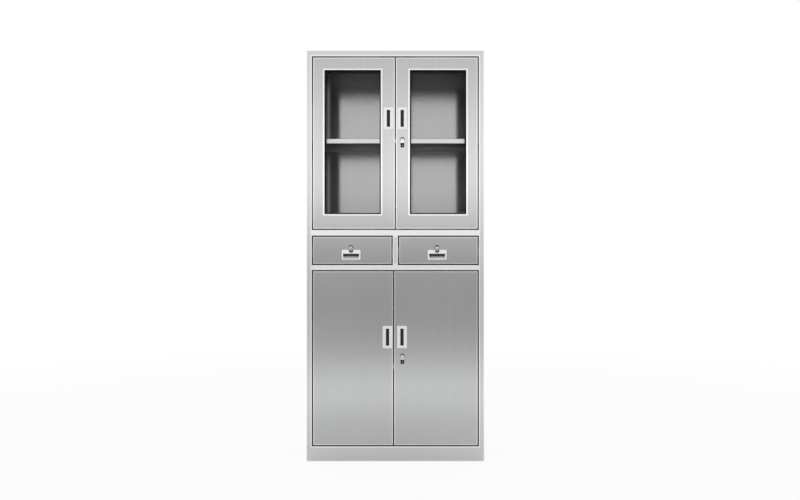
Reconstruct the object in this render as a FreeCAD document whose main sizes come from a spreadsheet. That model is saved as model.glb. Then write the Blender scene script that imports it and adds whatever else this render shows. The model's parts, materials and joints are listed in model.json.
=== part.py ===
"""Two-door, two-drawer, two-door steel cabinet for anesthesia supplies.

X runs to the right, Y to the back and Z up, in millimetres. The origin lies on the
floor, under the middle of the whole cabinet with its folded keys.
"""
import FreeCAD, Part
import os
import re

import Sketcher

# Driving dimensions, one cell each, in millimetres unless the name says count or share
SIZES = {
    # Carcass of folded sheet
    "cabinet_width": 800,
    "cabinet_height": 1850,
    "cabinet_depth": 400,
    "sheet": 1.0,
    "bend_radius": 1.0,
    "stile_width": 25,
    "post_width": 25,
    "frame_depth": 22,
    "plinth_height": 68,
    "lower_opening_height": 792,
    "lower_rail_height": 24,
    "drawer_opening_height": 131,
    "upper_rail_height": 27,
    "top_rail_height": 28,
    "rear_flange_width": 20,
    "catch_lip_width": 18,
    # Clearances
    "running_gap": 0.3,
    "fit_clearance": 0.05,
    "overrun": 1.0,
    # Doors
    "door_gap": 4,
    "door_thickness": 20,
    "lower_meeting_shift": 8,
    "hinge_member_width": 52,
    "meeting_member_width": 63.5,
    "top_member_height": 57,
    "bottom_member_height": 67,
    "glazing_lip": 8,
    "glass_thickness": 4,
    "glass_overlap": 8,
    "gasket_wall": 1.5,
    "gasket_reveal": 5,
    # Door pivots
    "pivot_inset": 14,
    "pivot_setback": 7,
    "pin_diameter": 6,
    "bush_wall": 1.5,
    "bush_flange_width": 2,
    "bush_length": 8,
    # Magnetic catches
    "catch_width": 44,
    "catch_height": 14,
    "catch_depth": 16,
    "catch_inset": 60,
    "catch_groove": 3,
    # Flush pulls of the doors
    "pull_width": 44,
    "pull_height": 101,
    "plate_thickness": 2,
    "plate_corner": 4,
    "plate_edge": 0.8,
    "slot_width": 15,
    "slot_height": 76,
    "rim_width": 4.5,
    "rim_rise": 1.2,
    "rim_edge": 0.5,
    "cup_depth": 14,
    "cup_wall": 1.2,
    "cup_undercut": 5,
    "upper_pull_inset": 31,
    "lower_left_pull_inset": 27,
    "lower_right_pull_inset": 38,
    "upper_pull_level": 497,
    "lower_pull_level": 487,
    # Flush pulls of the drawers
    "drawer_pull_width": 84,
    "drawer_pull_height": 44,
    "drawer_pull_level": 41.5,
    "drawer_fitting_shift": 5.5,
    "grip_width": 72,
    "grip_height": 10,
    "scoop_height": 13,
    # Cam locks
    "bezel_diameter": 20,
    "bezel_thickness": 2.5,
    "bezel_edge": 0.8,
    "barrel_diameter": 16,
    "barrel_wall": 2.5,
    "barrel_tail": 0.5,
    "neck_width": 7,
    "cam_gap": 1.3,
    "cam_thickness": 2,
    "cam_width": 14,
    "cam_corner": 5,
    "door_cam_length": 50,
    "drawer_cam_length": 62,
    "cam_nut_width": 11,
    "cam_nut_height": 2,
    "upper_lock_inset": 31.5,
    "lower_lock_inset": 39.5,
    "door_lock_level": 403,
    "drawer_lock_level": 75,
    # Folding keys
    "shank_width": 6,
    "bow_gap": 1.5,
    "bow_thickness": 5,
    "bow_width": 16,
    "bow_corner": 6,
    "door_bow_length": 36,
    "drawer_bow_length": 24,
    "ear_gap": 0.5,
    "key_pin_diameter": 2,
    "ring_hole_diameter": 6,
    "ring_hole_inset": 8,
    "ear_round_share": 0.45,
    # Shelves on slotted standards
    "shelf_height": 22,
    "shelf_setback": 40,
    "shelf_rear_gap": 6,
    "shelf_side_gap": 1,
    "shelf_lip_width": 12,
    "upper_shelf_notch_count": 7,
    "lower_shelf_notch_count": 6,
    "standard_width": 22,
    "standard_thickness": 2,
    "standard_setback": 70,
    "standard_rear_setback": 80,
    "notch_pitch": 50,
    "notch_margin": 37,
    "notch_width": 10,
    "notch_height": 4,
    "clip_width": 16,
    "clip_thickness": 1.5,
    "clip_reach": 12,
    "clip_height": 14,
    "clip_rise": 6,
    "tab_clearance": 0.4,
    # Drawers and their telescopic slides
    "slide_thickness": 12.7,
    "slide_height": 45,
    "slide_rear_gap": 35,
    "slide_gauge": 1.2,
    "slide_gap": 0.4,
    "slide_setback": 25,
    "slide_level": 52,
    "tray_floor_gap": 8,
    "tray_height": 92,
    "tray_rear_gap": 55,
}

# Places worked out from the driving dimensions
PLACES = {
    "outer_bend": "bend_radius + sheet",
    "key_reach": "bezel_thickness + bow_gap + bow_thickness",
    "face_y": "(key_reach - cabinet_depth) / 2",
    "half_width": "cabinet_width / 2",
    "inner_half": "half_width - sheet",
    "opening_half": "half_width - stile_width",
    "lower_bottom": "plinth_height",
    "lower_top": "lower_bottom + lower_opening_height",
    "drawer_bottom": "lower_top + lower_rail_height",
    "drawer_top": "drawer_bottom + drawer_opening_height",
    "upper_bottom": "drawer_top + upper_rail_height",
    "upper_top": "cabinet_height - top_rail_height",
    "upper_opening_height": "upper_top - upper_bottom",
    "deck_length": "cabinet_depth - frame_depth - 2 * sheet",
    "door_left_x": "door_gap - opening_half",
    "upper_right_x": "door_gap / 2",
    "lower_right_x": "door_gap / 2 - lower_meeting_shift",
    "upper_door_z": "upper_bottom + door_gap",
    "lower_door_z": "lower_bottom + door_gap",
    "upper_door_width": "opening_half - 1.5 * door_gap",
    "lower_left_width": "opening_half - 1.5 * door_gap - lower_meeting_shift",
    "lower_right_width": "opening_half - 1.5 * door_gap + lower_meeting_shift",
    "upper_door_height": "upper_opening_height - 2 * door_gap",
    "lower_door_height": "lower_opening_height - 2 * door_gap",
    "glazing_depth": "2 * gasket_wall + glass_thickness",
    "liner_flange": "door_thickness - glazing_lip - glazing_depth",
    "pin_radius": "pin_diameter / 2",
    "bush_bore": "pin_radius + fit_clearance",
    "bush_radius": "bush_bore + bush_wall",
    "pivot_x": "opening_half - door_gap - pivot_inset",
    "cup_half_width": "slot_width / 2 + cup_undercut + cup_wall",
    "cup_half_height": "slot_height / 2 + cup_undercut + cup_wall",
    "scoop_low": "0 - grip_height / 2 - scoop_height",
    "grip_high": "grip_height / 2 + cup_undercut",
    "grip_half_width": "grip_width / 2 + cup_wall",
    "barrel_radius": "barrel_diameter / 2",
    "plug_radius": "barrel_radius - barrel_wall",
    "door_cam_y": "door_thickness + cam_gap",
    "drawer_cam_y": "frame_depth + sheet + cam_gap",
    "key_pin_y": "0 - bezel_thickness - bow_gap - bow_thickness / 2",
    "drawer_opening_width": "opening_half - post_width / 2",
    "drawer_width": "drawer_opening_width - 2 * door_gap",
    "drawer_height": "drawer_opening_height - 2 * door_gap",
    "drawer_fitting_x": "drawer_width / 2 - drawer_fitting_shift",
    "drawer_z": "drawer_bottom + door_gap",
    "drawer_right_x": "post_width / 2 + door_gap",
    "slide_z": "drawer_z + slide_level",
    "slide_y": "face_y + slide_setback",
    "middle_x": "slide_gauge + slide_gap",
    "middle_height": "slide_height - 2 * middle_x",
    "inner_x": "2 * middle_x",
    "inner_height": "middle_height - 2 * middle_x",
    "channel_reach": "slide_thickness - slide_gauge - slide_gap",
    "upper_shelf_z": "upper_bottom + notch_margin + upper_shelf_notch_count * notch_pitch + clip_rise",
    "lower_shelf_z": "lower_bottom + notch_margin + lower_shelf_notch_count * notch_pitch + clip_rise",
    "standard_step": "cabinet_depth - standard_setback - standard_rear_setback",
    "slide_length": "cabinet_depth - slide_setback - slide_rear_gap",
    "tray_length": "cabinet_depth - tray_rear_gap",
    "shelf_half": "inner_half - standard_thickness - shelf_side_gap",
    "shelf_length": "cabinet_depth - 2 * sheet - shelf_setback - shelf_rear_gap",
}

TOLERANCE_SHARE = 1e-6

doc = FreeCAD.newDocument("anesthesia_cabinet")
nodes = []


def spelled(text):
    """Spell each size or place in a formula with the object that holds it."""

    def owner(found):
        word = found.group(0)
        if word in SIZES:
            return "sizes." + word
        if word in PLACES:
            return "places." + word
        return word

    return re.sub(r"[a-z][a-z_]*", owner, text)


def make_sheet():
    """Fill the sheet of driving dimensions."""
    table = doc.addObject("Spreadsheet::Sheet", "sizes")
    for row, (name, number) in enumerate(SIZES.items(), start=1):
        table.set(f"A{row}", name)
        table.set(f"B{row}", str(number))
        table.setAlias(f"B{row}", name)
    doc.recompute()
    return table


def make_places():
    """Bind each derived place to the sheet."""
    holder = doc.addObject("App::VarSet", "places")
    for name in PLACES:
        holder.addProperty("App::PropertyFloat", name, "Places")
    for name, text in PLACES.items():
        holder.setExpression(name, spelled(text))
    doc.recompute()
    return holder


sizes = make_sheet()
places = make_places()


def value(text):
    """Work out a formula now, to start a sketch or to pick an edge."""
    return float(sizes.evalExpression(spelled(text)))


def near(first, second):
    """Say whether two lengths are the same."""
    return abs(first - second) < TOLERANCE_SHARE * value("cabinet_width")


def bind(thing, prop, text):
    """Bind one property to a formula."""
    thing.setExpression(prop, spelled(text))


def place(thing, prop, x, y, z):
    """Bind the three coordinates of a placement."""
    for axis, text in zip("xyz", (x, y, z)):
        bind(thing, f"{prop}.Base.{axis}", text)


def add_body(name, x="0", y="face_y", z="0", node=True):
    """Start a body at its place and list it as a node."""
    body = doc.addObject("PartDesign::Body", name)
    body.Label = name
    place(body, "Placement", x, y, z)
    if node:
        nodes.append(body)
    return body


def add_sketch(body, role, offset="0"):
    """Start a sketch on one of the body's own planes, moved along its normal."""
    sketch = body.newObject("Sketcher::SketchObject", body.Name + "_sketch")
    plane = next(item for item in body.Origin.OriginFeatures if item.Role == role)
    sketch.AttachmentSupport = [(plane, "")]
    sketch.MapMode = "FlatFace"
    bind(sketch, "AttachmentOffset.Base.z", offset)
    return sketch


def fix_point(sketch, curve, point, x, y):
    """Tie a point of a curve to its two coordinates."""
    for axis, text in (("X", x), ("Y", y)):
        tie = Sketcher.Constraint("Distance" + axis, -1, 1, curve, point, value(text))
        index = sketch.addConstraint(tie)
        bind(sketch, f"Constraints[{index}]", text)


def outline(sketch, *corners):
    """Draw a closed outline through corners given as pairs of formulas."""
    points = [FreeCAD.Vector(value(x), value(y), 0) for x, y in corners]
    first = sketch.GeometryCount
    count = len(corners)
    for index in range(count):
        side = Part.LineSegment(points[index], points[(index + 1) % count])
        sketch.addGeometry(side, False)
    for index in range(count):
        after = first + (index + 1) % count
        sketch.addConstraint(Sketcher.Constraint("Coincident", first + index, 2, after, 1))
    for index, (x, y) in enumerate(corners):
        fix_point(sketch, first + index, 1, x, y)


def rectangle(sketch, left, low, right, high):
    """Draw a rectangle between four formulas."""
    outline(sketch, (left, low), (right, low), (right, high), (left, high))


def square(sketch, half):
    """Draw a square round the origin."""
    rectangle(sketch, f"0 - {half}", f"0 - {half}", half, half)


def circle(sketch, x, y, radius):
    """Draw a circle."""
    centre = FreeCAD.Vector(value(x), value(y), 0)
    up = FreeCAD.Vector(0, 0, 1)
    curve = sketch.addGeometry(Part.Circle(centre, up, value(radius)), False)
    fix_point(sketch, curve, 3, x, y)
    index = sketch.addConstraint(Sketcher.Constraint("Radius", curve, value(radius)))
    bind(sketch, f"Constraints[{index}]", radius)


def extrude(body, kind, sketch, length, reverse):
    """Pad or pocket a sketch."""
    feature = body.newObject("PartDesign::" + kind, f"{body.Name}_{kind.lower()}")
    feature.Profile = sketch
    feature.Reversed = reverse
    bind(feature, "Length", length)
    return feature


def pad(body, sketch, length, reverse=False):
    """Add a sketch along its normal, or against it."""
    return extrude(body, "Pad", sketch, length, reverse)


def pocket(body, sketch, length, reverse=False):
    """Cut a sketch against its normal, or along it."""
    return extrude(body, "Pocket", sketch, length, reverse)


def revolve(body, sketch):
    """Turn a sketch once round its own upright axis."""
    feature = body.newObject("PartDesign::Revolution", body.Name + "_turn")
    feature.Profile = sketch
    feature.ReferenceAxis = (sketch, ["V_Axis"])
    return feature


def soften(body, kind, prop, text, chosen):
    """Round or bevel the edges that a test chooses on the body so far."""
    doc.recompute()
    base = body.Tip
    names = [f"Edge{i}" for i, edge in enumerate(base.Shape.Edges, start=1) if chosen(edge)]
    feature = body.newObject("PartDesign::" + kind, f"{body.Name}_{kind.lower()}")
    feature.Base = (base, names)
    bind(feature, prop, text)


def fillet(body, radius, chosen):
    """Round chosen edges."""
    soften(body, "Fillet", "Radius", radius, chosen)


def chamfer(body, width, chosen):
    """Bevel chosen edges."""
    soften(body, "Chamfer", "Size", width, chosen)


def in_plane(axis, text):
    """Test for edges that lie in a plane square to an axis."""
    level = value(text)

    def chosen(edge):
        box = edge.BoundBox
        low = getattr(box, axis + "Min")
        high = getattr(box, axis + "Max")
        return near(low, level) and near(high, level)

    return chosen


def along(axis, *tests):
    """Test for straight edges along an axis that also pass other tests."""

    def chosen(edge):
        lengths = {name: getattr(edge.BoundBox, name + "Length") for name in "XYZ"}
        others = [length for name, length in lengths.items() if name != axis]
        straight = lengths[axis] > 0 and all(near(length, 0) for length in others)
        return straight and all(test(edge) for test in tests)

    return chosen


def copy_of(source, name, x, y, z, turn_axis=None):
    """Place another of the same piece, turned half round an axis if one is given."""
    link = doc.addObject("App::Link", name)
    link.LinkedObject = source
    if turn_axis is not None:
        link.LinkPlacement = FreeCAD.Placement(FreeCAD.Vector(), turn_axis, 180)
    place(link, "LinkPlacement", x, y, z)
    return link


def group(name, pieces):
    """Gather like pieces in one node, each still a solid of its own."""
    gathered = doc.addObject("Part::Compound", name)
    gathered.Label = name
    gathered.Links = pieces
    nodes.append(gathered)
    return gathered


def mirrored(source, name):
    """Make the right-hand twin of a left-hand piece."""
    twin = doc.addObject("Part::Mirroring", name)
    twin.Label = name
    twin.Source = source
    twin.Normal = FreeCAD.Vector(1, 0, 0)
    nodes.append(twin)
    return twin


X_AXIS = FreeCAD.Vector(1, 0, 0)
Z_AXIS = FreeCAD.Vector(0, 0, 1)


# Carcass

def frame_openings(sketch, margin):
    """Draw the four openings of the front frame, each widened by a margin."""
    left = f"stile_width - {margin}"
    right = f"cabinet_width - stile_width + {margin}"
    post_left = f"half_width - post_width / 2 + {margin}"
    post_right = f"half_width + post_width / 2 - {margin}"
    drawer_rows = (f"drawer_bottom - {margin}", f"drawer_top + {margin}")
    rectangle(sketch, left, f"upper_bottom - {margin}", right, f"upper_top + {margin}")
    rectangle(sketch, left, drawer_rows[0], post_left, drawer_rows[1])
    rectangle(sketch, post_right, drawer_rows[0], right, drawer_rows[1])
    rectangle(sketch, left, f"lower_bottom - {margin}", right, f"lower_top + {margin}")


def front_frame():
    """Welded face frame with plinth: a face with returns round every opening."""
    body = add_body("front_frame", x="0 - half_width")
    face = add_sketch(body, "XZ_Plane")
    rectangle(face, "0", "0", "cabinet_width", "cabinet_height")
    pad(body, face, "frame_depth", reverse=True)
    openings = add_sketch(body, "XZ_Plane")
    frame_openings(openings, "0")
    pocket(body, openings, "frame_depth")
    fillet(body, "outer_bend", in_plane("Y", "0"))
    hollow = add_sketch(body, "XZ_Plane", "0 - frame_depth")
    rectangle(hollow, "sheet", "sheet", "cabinet_width - sheet", "cabinet_height - sheet")
    frame_openings(hollow, "sheet")
    pocket(body, hollow, "frame_depth - sheet", reverse=True)
    for low, high in (("upper_bottom", "upper_top"), ("lower_bottom", "lower_top")):
        bores = add_sketch(body, "XY_Plane", f"{low} - sheet")
        for pivot in ("half_width - pivot_x", "half_width + pivot_x"):
            circle(bores, pivot, "pivot_setback", "bush_radius + fit_clearance")
        pocket(body, bores, f"{high} - {low} + 2 * sheet", reverse=True)


def side_panels():
    """Folded side panels, flanged behind the stiles and at the back."""
    body = add_body("left_side_panel", x="0 - half_width", y="face_y + frame_depth")
    length = "(cabinet_depth - frame_depth)"
    profile = add_sketch(body, "XY_Plane")
    outline(
        profile,
        ("0", "0"),
        ("stile_width", "0"),
        ("stile_width", "sheet"),
        ("sheet", "sheet"),
        ("sheet", f"{length} - sheet"),
        ("rear_flange_width", f"{length} - sheet"),
        ("rear_flange_width", length),
        ("0", length),
    )
    pad(body, profile, "cabinet_height")
    fillet(body, "outer_bend", along("Z", in_plane("X", "0"), in_plane("Y", length)))
    mirrored(body, "right_side_panel")


def back_panel():
    """Flat back sheet, held against the rear flanges of the sides."""
    body = add_body("back_panel", x="0 - inner_half", y="face_y + frame_depth + deck_length")
    sheet_face = add_sketch(body, "XZ_Plane")
    rectangle(sheet_face, "0", "0", "2 * inner_half", "cabinet_height")
    pad(body, sheet_face, "sheet", reverse=True)


def tray_down(body, plan, height, mouth=None):
    """Fold a sheet into a tray that opens downwards, its mouth narrowed by lips if it has any."""
    outside = add_sketch(body, "XY_Plane")
    plan(outside, "0")
    pad(body, outside, height)
    floor = "sheet" if mouth else "0"
    room = add_sketch(body, "XY_Plane", floor)
    plan(room, "sheet")
    pocket(body, room, f"{height} - sheet - {floor}", reverse=True)
    if mouth:
        gap = add_sketch(body, "XY_Plane")
        rectangle(gap, *mouth)
        pocket(body, gap, "sheet", reverse=True)


def deck_plan(sketch, margin):
    """Draw a deck's plan, notched round the flanges of the sides, inset by a margin."""
    notch = "(stile_width - sheet)"
    right = f"2 * inner_half - {margin}"
    rear = f"deck_length - {margin}"
    step = f"sheet + {margin}"
    outline(
        sketch,
        (f"{notch} + {margin}", margin),
        (f"{right} - {notch}", margin),
        (f"{right} - {notch}", step),
        (right, step),
        (right, rear),
        (margin, rear),
        (margin, step),
        (f"{notch} + {margin}", step),
    )


def decks():
    """Top, two decks and floor: trays welded between the sides behind the frame."""
    lipped = ("sheet", "catch_lip_width", "2 * inner_half - sheet", "deck_length - sheet")
    rows = (
        ("top_panel", "cabinet_height", "top_rail_height", lipped),
        ("upper_deck", "upper_bottom", "upper_rail_height", None),
        ("lower_deck", "drawer_bottom", "lower_rail_height", lipped),
        ("base_panel", "lower_bottom", "plinth_height", lipped),
    )
    for name, top, height, mouth in rows:
        body = add_body(name, "0 - inner_half", "face_y + frame_depth", f"{top} - {height}")
        tray_down(body, deck_plan, height, mouth)


def drawer_partition():
    """Channel behind the post, which carries the inner slides of both drawers."""
    body = add_body("drawer_partition", "0 - post_width / 2", "face_y + frame_depth", "drawer_bottom")
    profile = add_sketch(body, "XY_Plane")
    outline(
        profile,
        ("0", "0"),
        ("post_width", "0"),
        ("post_width", "deck_length"),
        ("post_width - sheet", "deck_length"),
        ("post_width - sheet", "sheet"),
        ("sheet", "sheet"),
        ("sheet", "deck_length"),
        ("0", "deck_length"),
    )
    pad(body, profile, "drawer_opening_height")


def slide_cheeks():
    """Channels that bring the outer slides in from the sides to the opening's edge."""
    body = add_body("left_cheek", "0 - inner_half", "face_y + frame_depth + sheet", "drawer_bottom", False)
    depth = "(stile_width - sheet)"
    length = "(deck_length - sheet)"
    profile = add_sketch(body, "XY_Plane")
    outline(
        profile,
        ("0", "0"),
        (depth, "0"),
        (depth, length),
        ("0", length),
        ("0", f"{length} - sheet"),
        (f"{depth} - sheet", f"{length} - sheet"),
        (f"{depth} - sheet", "sheet"),
        ("0", "sheet"),
    )
    pad(body, profile, "drawer_opening_height")
    twin = copy_of(body, "right_cheek", "inner_half", f"face_y + frame_depth + sheet + {length}",
                   "drawer_bottom", Z_AXIS)
    group("slide_cheeks", [body, twin])


def shelf_plan(sketch, margin):
    """Draw a shelf's plan, inset by a margin."""
    rectangle(sketch, margin, margin, f"2 * shelf_half - {margin}", f"shelf_length - {margin}")


def shelves():
    """Loose shelves: trays with a lip all round, resting on clips."""
    lip = "shelf_lip_width"
    mouth = (lip, lip, f"2 * shelf_half - {lip}", f"shelf_length - {lip}")
    for name, level in (("upper_shelf", "upper_shelf_z"), ("lower_shelf", "lower_shelf_z")):
        body = add_body(name, "0 - shelf_half", "face_y + shelf_setback", level)
        tray_down(body, shelf_plan, "shelf_height", mouth)
        fillet(body, "outer_bend", along("X", in_plane("Y", "0")))


def shelf_standards():
    """Slotted strips on the sides, two a side in each compartment."""
    strips = []
    rows = (
        ("upper", "upper_bottom", "upper_opening_height"),
        ("lower", "lower_bottom", "lower_opening_height"),
    )
    for row, low, height in rows:
        first = None
        for side, x in (("left", "0 - inner_half"), ("right", "inner_half - standard_thickness")):
            for end, step in (("front", "0"), ("rear", "standard_step")):
                spot = (x, f"face_y + standard_setback + {step}", low)
                name = f"{row}_{side}_{end}_standard"
                if first is None:
                    first = slotted_strip(name, spot, height)
                    strips.append(first)
                else:
                    strips.append(copy_of(first, name, *spot))
    group("shelf_standards", strips)


def slotted_strip(name, spot, height):
    """One strip with its row of notches."""
    body = add_body(name, *spot, node=False)
    strip = add_sketch(body, "YZ_Plane")
    rectangle(strip, "0 - standard_width / 2", "0", "standard_width / 2", height)
    pad(body, strip, "standard_thickness")
    notch = add_sketch(body, "YZ_Plane", "standard_thickness")
    rectangle(notch, "0 - notch_width / 2", "notch_margin - notch_height / 2", "notch_width / 2",
              "notch_margin + notch_height / 2")
    cut = pocket(body, notch, "standard_thickness")
    doc.recompute()
    row = body.newObject("PartDesign::LinearPattern", name + "_row")
    row.Originals = [cut]
    row.Direction = (notch, ["V_Axis"])
    steps = f"floor(({height} - 2 * notch_margin) / notch_pitch)"
    bind(row, "Length", f"{steps} * notch_pitch")
    bind(row, "Occurrences", f"{steps} + 1")
    body.Tip = row
    return body


def shelf_clips():
    """Clips whose tabs hook into the standards and whose ledges carry the shelves."""
    clips = []
    first = None
    for row, level in (("upper", "upper_shelf_z"), ("lower", "lower_shelf_z")):
        for side, sign, turn in (("left", "0 - ", None), ("right", "", Z_AXIS)):
            for end, step in (("front", "0"), ("rear", "standard_step")):
                spot = (f"{sign}(inner_half - standard_thickness)",
                        f"face_y + standard_setback + {step}", level)
                name = f"{row}_{side}_{end}_clip"
                if first is None:
                    first = shelf_clip(name, spot)
                    clips.append(first)
                else:
                    clips.append(copy_of(first, name, *spot, turn))
    group("shelf_clips", clips)


def shelf_clip(name, spot):
    """One folded clip with its tab."""
    body = add_body(name, *spot, node=False)
    profile = add_sketch(body, "XZ_Plane", "0 - clip_width / 2")
    outline(
        profile,
        ("0", "0"),
        ("0", "0 - clip_height"),
        ("clip_thickness", "0 - clip_height"),
        ("clip_thickness", "0 - clip_thickness"),
        ("clip_reach", "0 - clip_thickness"),
        ("clip_reach", "0"),
    )
    pad(body, profile, "clip_width")
    tab = add_sketch(body, "YZ_Plane")
    rectangle(tab, "tab_clearance - notch_width / 2", "tab_clearance - clip_rise - notch_height / 2",
              "notch_width / 2 - tab_clearance", "notch_height / 2 - clip_rise - tab_clearance")
    pad(body, tab, "standard_thickness", reverse=True)
    return body


def pivot_bushes():
    """Flanged bushes in the returns of the frame, on which the doors turn."""
    bushes = []
    first = None
    levels = (("upper_low", "upper_bottom", None), ("upper_high", "upper_top", X_AXIS),
              ("lower_low", "lower_bottom", None), ("lower_high", "lower_top", X_AXIS))
    for level, z, turn in levels:
        for side, x in (("left", "0 - pivot_x"), ("right", "pivot_x")):
            name = f"{level}_{side}_bush"
            spot = (x, "face_y + pivot_setback", z)
            if first is None:
                first = pivot_bush(name, spot)
                bushes.append(first)
            else:
                bushes.append(copy_of(first, name, *spot, turn))
    group("pivot_bushes", bushes)


def pivot_bush(name, spot):
    """One bush with a square flange that fills the gap under the door."""
    body = add_body(name, *spot, node=False)
    profile = add_sketch(body, "XZ_Plane")
    outline(
        profile,
        ("bush_bore", "0 - bush_length"),
        ("bush_radius", "0 - bush_length"),
        ("bush_radius", "0"),
        ("bush_bore", "0"),
    )
    revolve(body, profile)
    flange = add_sketch(body, "XY_Plane")
    square(flange, "(bush_radius + bush_flange_width)")
    circle(flange, "0", "0", "bush_bore")
    pad(body, flange, "door_gap - running_gap")
    return body


def magnetic_catches():
    """Magnet blocks under the lips behind the doors' upper meeting corners."""
    catches = []
    first = None
    rows = (("upper", "upper_top", "0"), ("lower", "lower_top", "0 - lower_meeting_shift"))
    for row, top, middle in rows:
        for side, sign in (("left", "-"), ("right", "+")):
            spot = (f"{middle} {sign} catch_inset", "face_y + door_thickness + running_gap",
                    f"{top} - catch_height")
            name = f"{row}_{side}_catch"
            if first is None:
                first = magnetic_catch(name, spot)
                catches.append(first)
            else:
                catches.append(copy_of(first, name, *spot))
    group("magnetic_catches", catches)


def magnetic_catch(name, spot):
    """One block with a groove between its two pole plates."""
    body = add_body(name, *spot, node=False)
    block = add_sketch(body, "XZ_Plane")
    rectangle(block, "0 - catch_width / 2", "0", "catch_width / 2", "catch_height")
    pad(body, block, "catch_depth", reverse=True)
    groove = add_sketch(body, "XZ_Plane")
    rectangle(groove, "0 - catch_width / 2", "(catch_height - catch_groove) / 2", "catch_width / 2",
              "(catch_height + catch_groove) / 2")
    pocket(body, groove, "catch_groove")
    return body


# Doors

def pan(body, width, height, window=None):
    """Fold a front panel: a face with returns, and a lip round its window if it has one."""
    face = add_sketch(body, "XZ_Plane")
    rectangle(face, "0", "0", width, height)
    pad(body, face, "door_thickness", reverse=True)
    if window:
        glazed = add_sketch(body, "XZ_Plane")
        rectangle(glazed, *window)
        pocket(body, glazed, "door_thickness")
    fillet(body, "outer_bend", in_plane("Y", "0"))
    deep = "glazing_lip" if window else "sheet"
    back = add_sketch(body, "XZ_Plane", "0 - door_thickness")
    inside = ("sheet", "sheet", f"{width} - sheet", f"{height} - sheet")
    rectangle(back, *inside)
    pocket(body, back, f"door_thickness - {deep}", reverse=True)
    if window:
        ring = add_sketch(body, "XZ_Plane", "0 - glazing_lip")
        rectangle(ring, *inside)
        rectangle(ring, *widened(window, "sheet"))
        pocket(body, ring, "glazing_lip - sheet", reverse=True)


def widened(window, margin):
    """Move the four sides of a window outwards."""
    left, low, right, high = window
    return (f"{left} - ({margin})", f"{low} - ({margin})", f"{right} + ({margin})", f"{high} + ({margin})")


def cut_for_pull(body, x, z, half_width, low, high):
    """Cut the face for the cup of a pull."""
    hole = add_sketch(body, "XZ_Plane")
    rectangle(hole, f"{x} - {half_width} - fit_clearance", f"{z} + {low} - fit_clearance",
              f"{x} + {half_width} + fit_clearance", f"{z} + {high} + fit_clearance")
    pocket(body, hole, "sheet + overrun")


def cut_for_lock(body, x, z, offset, length):
    """Bore a sheet for the barrel of a lock."""
    hole = add_sketch(body, "XZ_Plane", offset)
    circle(hole, x, z, "barrel_radius + fit_clearance")
    pocket(body, hole, length)


def pivot_pins(body, x, height):
    """Weld a pivot pin through each end of the door."""
    length = "sheet + door_gap + bush_length"
    low = add_sketch(body, "XY_Plane", "sheet")
    circle(low, x, "pivot_setback", "pin_radius")
    pad(body, low, length, reverse=True)
    high = add_sketch(body, "XY_Plane", f"{height} - sheet")
    circle(high, x, "pivot_setback", "pin_radius")
    pad(body, high, length)


def door_liner(name, spot, width, height, window=None, lock=None):
    """Inner panel of a door, flanged inside the returns of its skin."""
    body = add_body(name, spot[0], spot[1], spot[2])
    front = "0 - door_thickness + liner_flange"
    rim = ("sheet", "sheet", f"{width} - sheet", f"{height} - sheet")
    face = add_sketch(body, "XZ_Plane", front)
    rectangle(face, *rim)
    pad(body, face, "liner_flange", reverse=True)
    if window:
        glazed = add_sketch(body, "XZ_Plane", front)
        rectangle(glazed, *window)
        pocket(body, glazed, "liner_flange")
    room = add_sketch(body, "XZ_Plane", front)
    rectangle(room, *widened(rim, "0 - sheet"))
    if window:
        rectangle(room, *widened(window, "sheet"))
    pocket(body, room, "liner_flange - sheet")
    if lock:
        cut_for_lock(body, *lock, front, "liner_flange")


def glazing(side, spot, window):
    """Glass pane in a rubber channel, between the lips of the skin and the liner."""
    glass = add_body(f"upper_{side}_glass", *spot)
    pane = add_sketch(glass, "XZ_Plane", "0 - glazing_lip - gasket_wall")
    rectangle(pane, *widened(window, "glass_overlap"))
    pad(glass, pane, "glass_thickness", reverse=True)
    gasket = add_body(f"upper_{side}_gasket", *spot)
    ring = add_sketch(gasket, "XZ_Plane", "0 - glazing_lip")
    rectangle(ring, *widened(window, "glass_overlap + gasket_wall"))
    rectangle(ring, *widened(window, "0 - gasket_reveal"))
    pad(gasket, ring, "glazing_depth", reverse=True)
    groove = add_sketch(gasket, "XZ_Plane", "0 - glazing_lip - gasket_wall")
    rectangle(groove, *widened(window, "glass_overlap"))
    pocket(gasket, groove, "glass_thickness")


def door(row, side, x, width, height, pull_inset, pull_level, lock_inset):
    """One door with its skin, liner, pull and, where it has them, glazing and lock."""
    left = side == "left"
    name = f"{row}_{side}"
    spot = (x, "face_y", f"{row}_door_z")
    pivot = "pivot_inset" if left else f"{width} - pivot_inset"
    from_meeting = f"{width} + door_gap / 2 - " if left else "0 - door_gap / 2 + "
    pull_x = f"({from_meeting}{pull_inset})"
    lock = None if left else (f"({from_meeting}{lock_inset})", "door_lock_level")
    window = None
    if row == "upper":
        members = ("hinge_member_width", "meeting_member_width")
        first, last = members if left else members[::-1]
        window = (first, "bottom_member_height", f"{width} - {last}", f"{height} - top_member_height")
    skin = add_body(f"{name}_door_skin", *spot)
    pan(skin, width, height, window)
    cut_for_pull(skin, pull_x, pull_level, "cup_half_width", "(0 - cup_half_height)", "cup_half_height")
    if lock:
        cut_for_lock(skin, *lock, "0", "sheet + overrun")
    pivot_pins(skin, pivot, height)
    door_liner(f"{name}_door_liner", spot, width, height, window, lock)
    if window:
        glazing(side, spot, window)
    door_pull(f"{name}_pull", f"{x} + {pull_x}", f"{spot[2]} + {pull_level}")
    if lock:
        lock_set(row, f"{x} + {lock[0]}", f"{spot[2]} + {lock[1]}", "door_cam_y", "door_cam_length",
                 "door_bow_length", hangs=True)


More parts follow.
